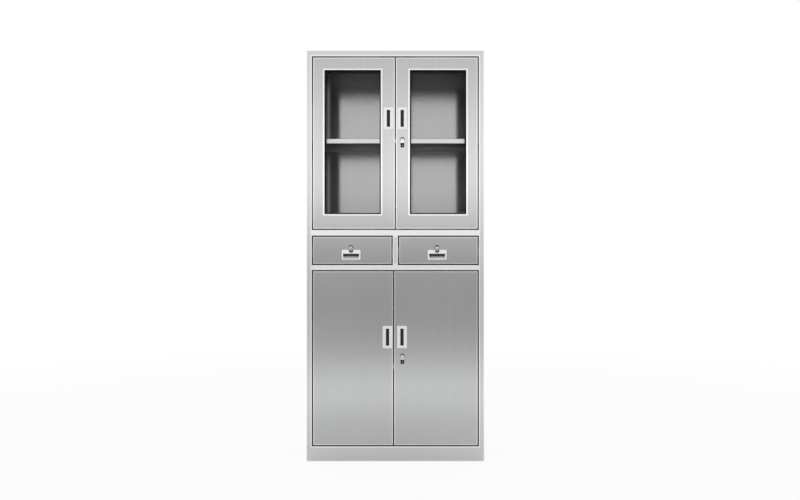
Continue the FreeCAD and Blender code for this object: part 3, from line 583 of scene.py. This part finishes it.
class SteelSettings(bpy.types.PropertyGroup):
    """Colours and gloss of the steel."""

    sheet_colour: bpy.props.FloatVectorProperty(
        name="Sheet colour", description="Reflection colour of the doors and the carcass",
        subtype="COLOR", size=4, min=0.0, max=1.0, default=(0.60, 0.605, 0.61, 1.0))
    sheet_roughness: bpy.props.FloatProperty(
        name="Sheet roughness", description="How far the brushing spreads reflections",
        subtype="FACTOR", min=0.0, max=1.0, default=0.21)
    back_roughness: bpy.props.FloatProperty(
        name="Back roughness", description="How far the smoother sheet of the back spreads reflections",
        subtype="FACTOR", min=0.0, max=1.0, default=0.16)
    tray_roughness: bpy.props.FloatProperty(
        name="Tray roughness",
        description="How far the satin of the trays and the inside spreads reflections",
        subtype="FACTOR", min=0.0, max=1.0, default=0.42)
    # Width of the painted highlight along the edges of doors and drawers
    edge_width: bpy.props.FloatProperty(
        name="Edge width", description="Width of the polished border of doors and drawers",
        subtype="DISTANCE", unit="LENGTH", min=0.0, default=0.0045)
    # Width of the painted highlight round the openings of the frame
    frame_edge_width: bpy.props.FloatProperty(
        name="Frame edge width", description="Width of the polished border round the openings of the frame",
        subtype="DISTANCE", unit="LENGTH", min=0.0, default=0.007)
    frame_colour: bpy.props.FloatVectorProperty(
        name="Face frame colour", description="Reflection colour of the face frame",
        subtype="COLOR", size=4, min=0.0, max=1.0, default=(0.75, 0.755, 0.76, 1.0))
    frame_roughness: bpy.props.FloatProperty(
        name="Face frame roughness", description="How far the satin of the face frame spreads reflections",
        subtype="FACTOR", min=0.0, max=1.0, default=0.29)
    # Nearly white, as a painted highlight on the shelves' fronts
    shelf_colour: bpy.props.FloatVectorProperty(
        name="Shelf colour", description="Reflection colour of the shelves",
        subtype="COLOR", size=4, min=0.0, max=1.0, default=(0.98, 0.98, 0.98, 1.0))
    # Darker than the sheet colour, as painted shade standing in for the darker reflection on the drawer
    # fronts
    drawer_colour: bpy.props.FloatVectorProperty(
        name="Drawer colour", description="Reflection colour of the drawer fronts",
        subtype="COLOR", size=4, min=0.0, max=1.0, default=(0.55, 0.555, 0.56, 1.0))
    pull_colour: bpy.props.FloatVectorProperty(
        name="Pull colour", description="Reflection colour of the flush pulls and window beads",
        subtype="COLOR", size=4, min=0.0, max=1.0, default=(0.98, 0.98, 0.98, 1.0))
    door_pull_roughness: bpy.props.FloatProperty(
        name="Door pull roughness", description="How far the pulls of the doors spread reflections",
        subtype="FACTOR", min=0.0, max=1.0, default=0.30)
    drawer_pull_roughness: bpy.props.FloatProperty(
        name="Drawer pull roughness", description="How far the pulls of the drawers spread reflections",
        subtype="FACTOR", min=0.0, max=1.0, default=0.36)
    chrome_colour: bpy.props.FloatVectorProperty(
        name="Lock colour", description="Reflection colour of the plated locks",
        subtype="COLOR", size=4, min=0.0, max=1.0, default=(0.80, 0.80, 0.81, 1.0))
    zinc_colour: bpy.props.FloatVectorProperty(
        name="Zinc colour", description="Reflection colour of slides, standards and clips",
        subtype="COLOR", size=4, min=0.0, max=1.0, default=(0.66, 0.68, 0.70, 1.0))
    zinc_roughness: bpy.props.FloatProperty(
        name="Zinc roughness",
        description="How far the plating of slides, standards and clips spreads reflections",
        subtype="FACTOR", min=0.0, max=1.0, default=0.36)


class GlazingSettings(bpy.types.PropertyGroup):
    """Sizes and colours of the windows."""

    bead_width: bpy.props.FloatProperty(
        name="Bead width", description="Width of the bright bead round each window",
        subtype="DISTANCE", unit="LENGTH", min=0.001, default=0.0075)
    bead_rise: bpy.props.FloatProperty(
        name="Bead rise", description="How far the bead stands in front of the door's face",
        subtype="DISTANCE", unit="LENGTH", min=0.0002, default=0.0012)
    bead_roughness: bpy.props.FloatProperty(
        name="Bead roughness", description="How far the bead spreads reflections",
        subtype="FACTOR", min=0.0, max=1.0, default=0.20)
    glass_tint: bpy.props.FloatVectorProperty(
        name="Glass tint", description="Colour of the light that passes a pane",
        subtype="COLOR", size=4, min=0.0, max=1.0, default=(0.93, 0.93, 0.93, 1.0))


class FastenerSettings(bpy.types.PropertyGroup):
    """Sizes and numbers of the rivets."""

    rivet_radius: bpy.props.FloatProperty(
        name="Rivet radius", description="Radius of a rivet's head",
        subtype="DISTANCE", unit="LENGTH", min=0.001, default=0.0035)
    rivet_height: bpy.props.FloatProperty(
        name="Rivet height", description="Height of a rivet's head",
        subtype="DISTANCE", unit="LENGTH", min=0.0002, default=0.0009)
    rivet_roughness: bpy.props.FloatProperty(
        name="Rivet roughness", description="How far a rivet's head spreads reflections",
        subtype="FACTOR", min=0.0, max=1.0, default=0.42)
    back_rivets: bpy.props.IntProperty(
        name="Rivets in a row", description="Rivets that hold the back sheet along one deck",
        min=2, default=9)
    slide_rivets: bpy.props.IntProperty(
        name="Rivets on a slide", description="Rivets that hold one slide member to a tray",
        min=2, default=4)


class StageSettings(bpy.types.PropertyGroup):
    """Camera and light."""

    camera_x: bpy.props.FloatProperty(
        name="Camera side", description="Distance of the camera to the right of the middle",
        subtype="DISTANCE", unit="LENGTH", default=0.075)
    camera_shift: bpy.props.FloatProperty(
        name="Camera shift", description="Sideways shift of the picture, as a share of its width",
        subtype="FACTOR", default=-0.015)
    camera_height: bpy.props.FloatProperty(
        name="Camera height", description="Height of the camera above the floor",
        subtype="DISTANCE", unit="LENGTH", default=0.951)
    camera_distance: bpy.props.FloatProperty(
        name="Camera distance", description="Distance of the camera in front of the doors",
        subtype="DISTANCE", unit="LENGTH", default=4.0)
    lens: bpy.props.FloatProperty(
        name="Lens", description="Focal length in millimetres", unit="CAMERA", default=40.0)
    key_power: bpy.props.FloatProperty(
        name="Key power", description="Power of the large soft lamp", unit="POWER", default=20.0)


# Pieces and meshes

def finish_nodes(names, material):
    """Give CAD nodes their finish."""
    for name in names:
        mesh = NODES[name].data
        mesh.materials.clear()
        mesh.materials.append(material)


def names_in(slot):
    """List the CAD nodes of one material slot."""
    return [name for name in NODES if SLOTS[name] == slot]


def new_piece(name, mesh, body):
    """Show a mesh as a piece that moves with a body."""
    piece = bpy.data.objects.new(name, mesh)
    bpy.context.scene.collection.objects.link(piece)
    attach(piece, body)


def bead_section(width, rise):
    """Outline of a bead: a low arch in front, and a flat foot behind the door's face."""
    section = []
    for step in range(BEAD_STEPS + 1):
        turn = math.pi * step / BEAD_STEPS
        section.append((width / 2 - width / 2 * math.cos(turn), -rise * math.sin(turn)))
    section.append((width, rise / 2))
    section.append((0.0, rise / 2))
    return section


def bead_mesh(name, low, high, section):
    """Run a bead's section round a rectangle in the plane of the doors."""
    corners = (
        (low.x, low.z, -1, -1),
        (high.x, low.z, 1, -1),
        (high.x, high.z, 1, 1),
        (low.x, high.z, -1, 1),
    )
    shape = bmesh.new()
    mitres = []
    for x, z, right, up in corners:
        mitres.append([shape.verts.new((x + right * out, FACE + y, z + up * out)) for out, y in section])
    for index, mitre in enumerate(mitres):
        following = mitres[(index + 1) % len(mitres)]
        for step in range(len(section)):
            beside = (step + 1) % len(section)
            shape.faces.new((mitre[step], mitre[beside], following[beside], following[step]))
    bmesh.ops.recalc_face_normals(shape, faces=shape.faces)
    mesh = bpy.data.meshes.new(name)
    shape.to_mesh(mesh)
    shape.free()
    return mesh


def rivet_tree(material):
    """Node tree that sets one domed head on each point, along the point's own heading."""
    tree = bpy.data.node_groups.new("rivet_heads", "GeometryNodeTree")
    interface = tree.interface
    interface.new_socket("Points", in_out="INPUT", socket_type="NodeSocketGeometry")
    interface.new_socket("Radius", in_out="INPUT", socket_type="NodeSocketFloat")
    interface.new_socket("Height", in_out="INPUT", socket_type="NodeSocketFloat")
    interface.new_socket("Heads", in_out="OUTPUT", socket_type="NodeSocketGeometry")
    source = tree.nodes.new("NodeGroupInput")
    result = tree.nodes.new("NodeGroupOutput")
    dome = tree.nodes.new("GeometryNodeMeshUVSphere")
    dome.inputs["Segments"].default_value = RIVET_SEGMENTS
    dome.inputs["Rings"].default_value = RIVET_RINGS
    dome.inputs["Radius"].default_value = 1.0
    size = tree.nodes.new("ShaderNodeCombineXYZ")
    squash = tree.nodes.new("GeometryNodeTransform")
    heading = tree.nodes.new("GeometryNodeInputNamedAttribute")
    heading.data_type = "FLOAT_VECTOR"
    heading.inputs["Name"].default_value = "outward"
    turn = tree.nodes.new("FunctionNodeAlignEulerToVector")
    turn.axis = "Z"
    spread = tree.nodes.new("GeometryNodeInstanceOnPoints")
    whole = tree.nodes.new("GeometryNodeRealizeInstances")
    smooth = tree.nodes.new("GeometryNodeSetShadeSmooth")
    paint = tree.nodes.new("GeometryNodeSetMaterial")
    paint.inputs["Material"].default_value = material
    join = tree.links.new
    join(source.outputs["Radius"], size.inputs["X"])
    join(source.outputs["Radius"], size.inputs["Y"])
    join(source.outputs["Height"], size.inputs["Z"])
    join(dome.outputs["Mesh"], squash.inputs["Geometry"])
    join(size.outputs[0], squash.inputs["Scale"])
    join(source.outputs["Points"], spread.inputs["Points"])
    join(squash.outputs["Geometry"], spread.inputs["Instance"])
    join(heading.outputs["Attribute"], turn.inputs["Vector"])
    join(turn.outputs[0], spread.inputs["Rotation"])
    join(spread.outputs["Instances"], whole.inputs["Geometry"])
    join(whole.outputs["Geometry"], smooth.inputs["Geometry"])
    join(smooth.outputs["Geometry"], paint.inputs["Geometry"])
    join(paint.outputs["Geometry"], result.inputs["Heads"])
    return tree


def rivet_mesh(name, tree, spots, radius, height):
    """Run the rivet tree on a list of points and headings, and keep the plain mesh."""
    points = bpy.data.meshes.new(f"{name}_points")
    points.from_pydata([spot for spot, _ in spots], [], [])
    heading = points.attributes.new("outward", "FLOAT_VECTOR", "POINT")
    for entry, (_, outward) in zip(heading.data, spots):
        entry.vector = outward
    holder = bpy.data.objects.new(f"{name}_holder", points)
    bpy.context.scene.collection.objects.link(holder)
    modifier = holder.modifiers.new("heads", "NODES")
    modifier.node_group = tree
    sockets = {item.name: item.identifier for item in tree.interface.items_tree}
    modifier[sockets["Radius"]] = radius
    modifier[sockets["Height"]] = height
    graph = bpy.context.evaluated_depsgraph_get()
    mesh = bpy.data.meshes.new_from_object(holder.evaluated_get(graph))
    mesh.name = name
    holder.modifiers.clear()
    bpy.data.objects.remove(holder)
    return mesh


# Operators

class CABINET_OT_carcass(bpy.types.Operator):
    """Finish the sides, back, top, decks, base, shelves and drawer supports"""

    bl_idname = "cabinet.carcass"
    bl_label = "Carcass"

    def execute(self, context):
        steel = context.scene.cabinet_steel
        plain = brushed_steel("brushed_sheet", steel.sheet_colour, steel.sheet_roughness)
        finish_nodes(["drawer_partition", "slide_cheeks"], plain)
        satin = brushed_steel("satin_sheet", steel.sheet_colour, steel.tray_roughness)
        finish_nodes(["upper_deck", "base_panel"], satin)
        self.dress_shaded_sheets(steel)
        self.dress_walls(steel)
        return {"FINISHED"}

    def dress_shaded_sheets(self, steel):
        """Shelves in the lighter shelf colour as painted highlight, and top and lower deck, all with dark
        painted shade underneath.
        """
        shelf = brushed_steel(
            "shelf_sheet", steel.shelf_colour, steel.sheet_roughness, spread=0.08, underside_shade=underside_mask)
        finish_nodes(["upper_shelf", "lower_shelf"], shelf)
        for name in ("top_panel", "lower_deck"):
            shaded_parts = hanging_shade_mask(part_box(name)[1].z)
            panel = brushed_steel(f"{name}_sheet", steel.sheet_colour, steel.sheet_roughness, underside_shade=shaded_parts)
            finish_nodes([name], panel)

    def dress_walls(self, steel):
        """Back sheet brushed across, in a lighter copy of the sheet's colour as painted light and with
        painted shadow along its seams, and side panels that are rougher inside, with painted shade there.
        """
        inner_corner, outer_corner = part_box("right_side_panel")
        # Lighter copy of the sheet's colour as painted light, and painted shadow where the side panels'
        # folded edges lie on the back
        bright = grey(steel.sheet_colour, BACK_SHINE)
        seams = (Zone(seam_mask(inner_corner.x), FOLD_SHADE),)
        back = brushed_steel(
            "smooth_sheet", bright, steel.back_roughness, spread=0.05, zones=seams, grain=ACROSS)
        finish_nodes(["back_panel"], back)
        dulling = steel.tray_roughness - steel.sheet_roughness
        # Rougher inside, with painted shade there
        inside = (Zone(inner_mask(outer_corner.x, outer_corner.y), INNER_SHADE, dulling),)
        side = brushed_steel("side_sheet", steel.sheet_colour, steel.sheet_roughness, zones=inside)
        finish_nodes(["left_side_panel", "right_side_panel"], side)


class CABINET_OT_face_frame(bpy.types.Operator):
    """Finish the face frame, with painted highlights along its borders and rails, and painted shade beside
    the gaps and on its returns
    """

    bl_idname = "cabinet.face_frame"
    bl_label = "Face frame"

    def execute(self, context):
        steel = context.scene.cabinet_steel
        rims = {door: rim_of(f"{door}_door_liner", SHEET + DOOR_GAP) for door in DOORS}
        rims.update({drawer: rim_of(f"{drawer}_front", DOOR_GAP) for drawer in DRAWERS})
        openings = list(rims.values())
        outline = rim_of("front_frame", 0.0)
        # Painted highlight on the outline, round the openings and over the rails; painted shade beside the
        # gaps and on the returns
        zones = (
            Zone(border_mask(outline, OUTLINE_WIDTH), FRAME_SHINE),
            Zone(reveal_mask(openings + self.rails(rims), steel.frame_edge_width), FRAME_SHINE),
            Zone(reveal_mask(openings, BEND_WIDTH + EDGE_SOFT), FOLD_SHADE),
            Zone(return_mask(outline), FOLD_SHADE),
        )
        face = brushed_steel(
            "satin_frame", steel.frame_colour, steel.frame_roughness, spread=0.08, zones=zones)
        finish_nodes(["front_frame"], face)
        return {"FINISHED"}

    def rails(self, rims):
        """Rails above and below the drawers, as far as the openings."""
        first = rims["left_drawer"]
        last = rims["right_drawer"]
        over = Rim(first.left, first.high, last.right, rims["upper_left"].low)
        under = Rim(first.left, rims["lower_left"].high, last.right, first.low)
        return [over, under]


class CABINET_OT_doors(bpy.types.Operator):
    """Finish the skins and liners of the doors"""

    bl_idname = "cabinet.doors"
    bl_label = "Doors"

    def execute(self, context):
        steel = context.scene.cabinet_steel
        for door in DOORS:
            skin = f"{door}_door_skin"
            rim = rim_of(f"{door}_door_liner", SHEET)
            finish_nodes([skin], folded_panel(f"{skin}_sheet", steel.sheet_colour, rim, steel))
        # Darker copy of the sheet's colour on the liners, as painted shade inside the doors
        liner_shade_colour = grey(steel.sheet_colour, LINER_SHADE)
        liner = brushed_steel("liner_sheet", liner_shade_colour, steel.sheet_roughness)
        finish_nodes([f"{door}_door_liner" for door in DOORS], liner)
        return {"FINISHED"}


class CABINET_OT_drawers(bpy.types.Operator):
    """Finish the fronts and trays of the drawers"""

    bl_idname = "cabinet.drawers"
    bl_label = "Drawers"

    def execute(self, context):
        steel = context.scene.cabinet_steel
        # Fronts in the darker drawer colour as painted shade, with a painted highlight along their borders
        # and painted shade on bends and folds
        for drawer in DRAWERS:
            front = f"{drawer}_front"
            rim = rim_of(front, 0.0)
            finish_nodes([front], folded_panel(f"{front}_sheet", steel.drawer_colour, rim, steel))
        tray = brushed_steel("tray_sheet", steel.sheet_colour, steel.tray_roughness)
        finish_nodes([f"{drawer}_tray" for drawer in DRAWERS], tray)
        return {"FINISHED"}


class CABINET_OT_pulls_and_locks(bpy.types.Operator):
    """Finish the flush pulls, cam locks and folding keys"""

    bl_idname = "cabinet.pulls_and_locks"
    bl_label = "Pulls and locks"

    def execute(self, context):
        steel = context.scene.cabinet_steel
        self.dress_pulls(steel)
        finish_nodes(names_in("lock_chrome"), chrome("lock_plate", steel.chrome_colour))
        for lock in LOCKS:
            self.dress_lock(lock, steel.chrome_colour)
        return {"FINISHED"}

    def dress_pulls(self, steel):
        """Upright pulls of the doors and level pulls of the drawers."""
        rim_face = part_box("upper_left_pull")[0].y
        upright = bright_steel(
            "upright_pull", steel.pull_colour, steel.door_pull_roughness,
            FACE + UPRIGHT_CUP_START, rim_face + PLATE_START)
        finish_nodes([f"{door}_pull" for door in DOORS], upright)
        level = bright_steel(
            "level_pull", steel.pull_colour, steel.drawer_pull_roughness, FACE + LEVEL_CUP_START)
        finish_nodes([f"{drawer}_pull" for drawer in DRAWERS], level)

    def dress_lock(self, lock, colour):
        """Bezel with a painted dark reflection as a ring, and a key whose lower half is black."""
        low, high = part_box(f"{lock}_lock_barrel")
        # Dark ring on the bezel: painted dark reflection
        ring = ring_mask((low + high) / 2, *LOCK_RING)
        finish_nodes([f"{lock}_lock_barrel"], chrome(f"{lock}_bezel", colour, ring))
        whole = rim_of(f"{lock}_key_bow", SHEET)
        lower_half = whole._replace(high=(whole.low + whole.high) / 2)
        key = chrome(f"{lock}_key", colour, inlay_mask(lower_half))
        finish_nodes([f"{lock}_key_bow"], key)


class CABINET_OT_glazing(bpy.types.Operator):
    """Glaze the upper doors and trim their windows"""

    bl_idname = "cabinet.glazing"
    bl_label = "Glazing"

    def execute(self, context):
        glazing = context.scene.cabinet_glazing
        bright = context.scene.cabinet_steel.pull_colour
        finish_nodes(names_in("clear_glass"), window_glass("clear_pane", glazing.glass_tint))
        rubber = moulded("glazing_strip", RUBBER, roughness=0.7, texture=1200.0, shine=0.1)
        finish_nodes(names_in("glazing_rubber"), rubber)
        bead = brushed_steel("bright_bead", bright, glazing.bead_roughness, spread=0.06)
        section = bead_section(glazing.bead_width, glazing.bead_rise)
        inset = Vector((GLASS_OVERLAP, 0.0, GLASS_OVERLAP))
        for side in ("left", "right"):
            low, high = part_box(f"upper_{side}_glass")
            mesh = bead_mesh(f"upper_{side}_bead", low + inset, high - inset, section)
            mesh.materials.append(bead)
            new_piece(f"upper_{side}_bead", mesh, f"upper_{side}_door")
        return {"FINISHED"}


class CABINET_OT_running_gear(bpy.types.Operator):
    """Finish the slides, shelf supports, bushes and catches"""

    bl_idname = "cabinet.running_gear"
    bl_label = "Running gear"

    def execute(self, context):
        steel = context.scene.cabinet_steel
        finish_nodes(names_in("zinc_plate"), plated("zinc", steel.zinc_colour, steel.zinc_roughness))
        nylon = moulded("nylon_bush", NYLON, roughness=0.45, texture=700.0)
        finish_nodes(names_in("nylon"), nylon)
        case = moulded("catch_case", CATCH_CASE, roughness=0.5, texture=800.0)
        finish_nodes(names_in("catch_plastic"), case)
        return {"FINISHED"}


class CABINET_OT_fasteners(bpy.types.Operator):
    """Set the rivets of the back sheet, shelf standards and drawer slides"""

    bl_idname = "cabinet.fasteners"
    bl_label = "Fasteners"

    def execute(self, context):
        fasteners = context.scene.cabinet_fasteners
        size = (fasteners.rivet_radius, fasteners.rivet_height)
        tree = rivet_tree(plated("rivet_head", RIVET, fasteners.rivet_roughness))
        fixed = self.back_rows(fasteners.back_rivets) + self.standard_ends()
        mesh = rivet_mesh("carcass_rivets", tree, fixed, *size)
        new_piece("carcass_rivets", mesh, "cabinet")
        for drawer in DRAWERS:
            spots = self.slide_rows(f"{drawer}_inner_slides", fasteners.slide_rivets)
            mesh = rivet_mesh(f"{drawer}_rivets", tree, spots, *size)
            new_piece(f"{drawer}_rivets", mesh, drawer)
        return {"FINISHED"}

    def back_rows(self, count):
        """Rows through the back sheet into the rear walls of the decks."""
        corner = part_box("back_panel")[1]
        reach = corner.x - BACK_RIVET_INSET
        spots = []
        for name in ("top_panel", "upper_deck", "lower_deck", "base_panel"):
            bottom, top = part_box(name)
            level = (bottom.z + top.z) / 2
            for step in range(count):
                x = -reach + 2 * reach * step / (count - 1)
                spots.append(((x, corner.y, level), (0, 1, 0)))
        return spots

    def standard_ends(self):
        """Two rivets in each slotted strip, near its ends."""
        low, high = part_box("shelf_standards")
        inner = abs(low.x) - STANDARD_THICKNESS
        middles = (low.y + STANDARD_HALF_WIDTH, high.y - STANDARD_HALF_WIDTH)
        spots = []
        for deck, roof in (("upper_deck", "top_panel"), ("base_panel", "lower_deck")):
            ends = (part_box(deck)[1].z + STANDARD_RIVET_INSET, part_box(roof)[0].z - STANDARD_RIVET_INSET)
            for side in (-1, 1):
                for y in middles:
                    for z in ends:
                        spots.append(((side * inner, y, z), (-side, 0, 0)))
        return spots

    def slide_rows(self, slides, count):
        """Rows inside a tray, where its slide members are fixed."""
        low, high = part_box(slides)
        level = (low.z + high.z) / 2
        length = high.y - low.y - 2 * SLIDE_RIVET_INSET
        spots = []
        for wall, inward in ((low.x, 1), (high.x, -1)):
            x = wall + inward * SLIDE_AND_TRAY_WALL
            for step in range(count):
                y = low.y + SLIDE_RIVET_INSET + length * step / (count - 1)
                spots.append(((x, y, level), (inward, 0, 0)))
        return spots


class CABINET_OT_stage(bpy.types.Operator):
    """Set up the floor, light and camera"""

    bl_idname = "cabinet.stage"
    bl_label = "Stage"

    def execute(self, context):
        stage = context.scene.cabinet_stage
        context.scene.view_settings.view_transform = "Standard"
        self.make_floor()
        self.make_room(context.scene)
        self.make_lamp(stage.key_power)
        self.make_camera(context.scene, stage)
        return {"FINISHED"}

    def make_floor(self):
        """Round floor that fades out at its rim."""
        mesh = bpy.data.meshes.new("floor")
        shape = bmesh.new()
        bmesh.ops.create_circle(shape, cap_ends=True, segments=FLOOR_SEGMENTS, radius=FLOOR_RADIUS)
        shape.to_mesh(mesh)
        shape.free()
        mesh.materials.append(self.pale_floor())
        floor = bpy.data.objects.new("floor", mesh)
        bpy.context.scene.collection.objects.link(floor)

    def pale_floor(self):
        """Pale matt floor, nearly white to the camera and white far off in mirrored light."""
        material = bpy.data.materials.new("pale_floor")
        tree = Tree(material)
        spot = tree.place()
        x, y, _ = tree.parts(spot)
        away = (x * x + y * y).maths("SQRT")
        dust = tree.noise(spot, scale=8.0, detail=3.0)
        matt = tree.node("ShaderNodeBsdfPrincipled")
        fill(tree, matt, Base_Color=tree.blend(dust, *FLOOR_TONES), Roughness=0.7 + 0.1 * dust)
        camera, glossy, through = tree.rays("Is Camera Ray", "Is Glossy Ray", "Is Transmission Ray")
        shown = FLOOR_SHOWN * (camera + through) + glossy * away.ramp(*FLOOR_MIRRORED)
        white = tree.node("ShaderNodeEmission", inputs={"Color": WHITE, "Strength": 1.0})
        pale = tree.mix_shaders(shown, matt, white)
        clear = tree.node("ShaderNodeBsdfTransparent")
        faded = tree.mix_shaders(away.ramp(*FLOOR_FADE), pale, clear)
        tree.node("ShaderNodeOutputMaterial", inputs={"Surface": faded.outputs[0]})
        return material

    def make_room(self, scene):
        """White room, in which metal mirrors a wall with soft bands where the doors face."""
        scene.world = bpy.data.worlds.new("studio_room")
        tree = Tree(scene.world)
        heading = tree.node("ShaderNodeTexCoord").outputs["Generated"]
        _, y, z = tree.parts(heading)
        front = (y * -1).ramp(*WALL_SPREAD)
        wall = tree.node("ShaderNodeValToRGB", {"stops": WALL_GREYS}, {0: z * 0.5 + 0.5})
        camera, through = tree.rays("Is Camera Ray", "Is Transmission Ray")
        mirrored = front * (1 - camera) * (1 - through)
        colour = tree.blend(mirrored, WHITE, wall.outputs[0])
        light = tree.node("ShaderNodeBackground", inputs={"Color": colour, "Strength": 1.0})
        tree.node("ShaderNodeOutputWorld", inputs={"Surface": light.outputs[0]})

    def make_lamp(self, power):
        """Soft rectangular lamp aimed at the doors, which metal doesn't mirror."""
        data = bpy.data.lights.new("key_lamp", "AREA")
        data.shape = "RECTANGLE"
        data.size, data.size_y = LAMP_SIZE
        data.energy = power
        lamp = bpy.data.objects.new("key_lamp", data)
        bpy.context.scene.collection.objects.link(lamp)
        lamp.location = LAMP_PLACE
        aim = Vector(LAMP_TARGET) - Vector(LAMP_PLACE)
        lamp.rotation_euler = aim.to_track_quat("-Z", "Y").to_euler()
        lamp.visible_glossy = False

    def make_camera(self, scene, stage):
        """Level camera square to the doors."""
        data = bpy.data.cameras.new("camera")
        data.lens = stage.lens
        data.sensor_width = SENSOR_WIDTH
        data.shift_x = stage.camera_shift
        camera = bpy.data.objects.new("camera", data)
        scene.collection.objects.link(camera)
        camera.location = (stage.camera_x, FACE - stage.camera_distance, stage.camera_height)
        camera.rotation_euler = (math.pi / 2, 0, 0)
        scene.camera = camera


class CABINET_PT_panel(bpy.types.Panel):
    """Cabinet looks"""

    bl_idname = "CABINET_PT_panel"
    bl_label = "Cabinet"
    bl_space_type = "VIEW_3D"
    bl_region_type = "UI"
    bl_category = "Cabinet"

    def draw(self, context):
        for operator in OPERATORS:
            self.layout.operator(operator.bl_idname)
        for group in GROUPS:
            settings = getattr(context.scene, group)
            column = self.layout.column()
            for name in settings.bl_rna.properties.keys():
                if name not in ("rna_type", "name"):
                    column.prop(settings, name)


OPERATORS = (
    CABINET_OT_carcass,
    CABINET_OT_face_frame,
    CABINET_OT_doors,
    CABINET_OT_drawers,
    CABINET_OT_pulls_and_locks,
    CABINET_OT_glazing,
    CABINET_OT_running_gear,
    CABINET_OT_fasteners,
    CABINET_OT_stage,
)
GROUPS = {
    "cabinet_steel": SteelSettings,
    "cabinet_glazing": GlazingSettings,
    "cabinet_fasteners": FastenerSettings,
    "cabinet_stage": StageSettings,
}


def register():
    """Register the settings, operators and panel."""
    for name, group in GROUPS.items():
        bpy.utils.register_class(group)
        setattr(bpy.types.Scene, name, bpy.props.PointerProperty(type=group))
    for operator in OPERATORS:
        bpy.utils.register_class(operator)
    bpy.utils.register_class(CABINET_PT_panel)


def unregister():
    """Take the panel, operators and settings out again."""
    bpy.utils.unregister_class(CABINET_PT_panel)
    for operator in reversed(OPERATORS):
        bpy.utils.unregister_class(operator)
    for name, group in GROUPS.items():
        delattr(bpy.types.Scene, name)
        bpy.utils.unregister_class(group)


def main():
    """Dress the cabinet."""
    register()
    bpy.ops.cabinet.carcass()
    bpy.ops.cabinet.face_frame()
    bpy.ops.cabinet.doors()
    bpy.ops.cabinet.drawers()
    bpy.ops.cabinet.pulls_and_locks()
    bpy.ops.cabinet.glazing()
    bpy.ops.cabinet.running_gear()
    bpy.ops.cabinet.fasteners()
    bpy.ops.cabinet.stage()


if __name__ == "__main__":
    main()
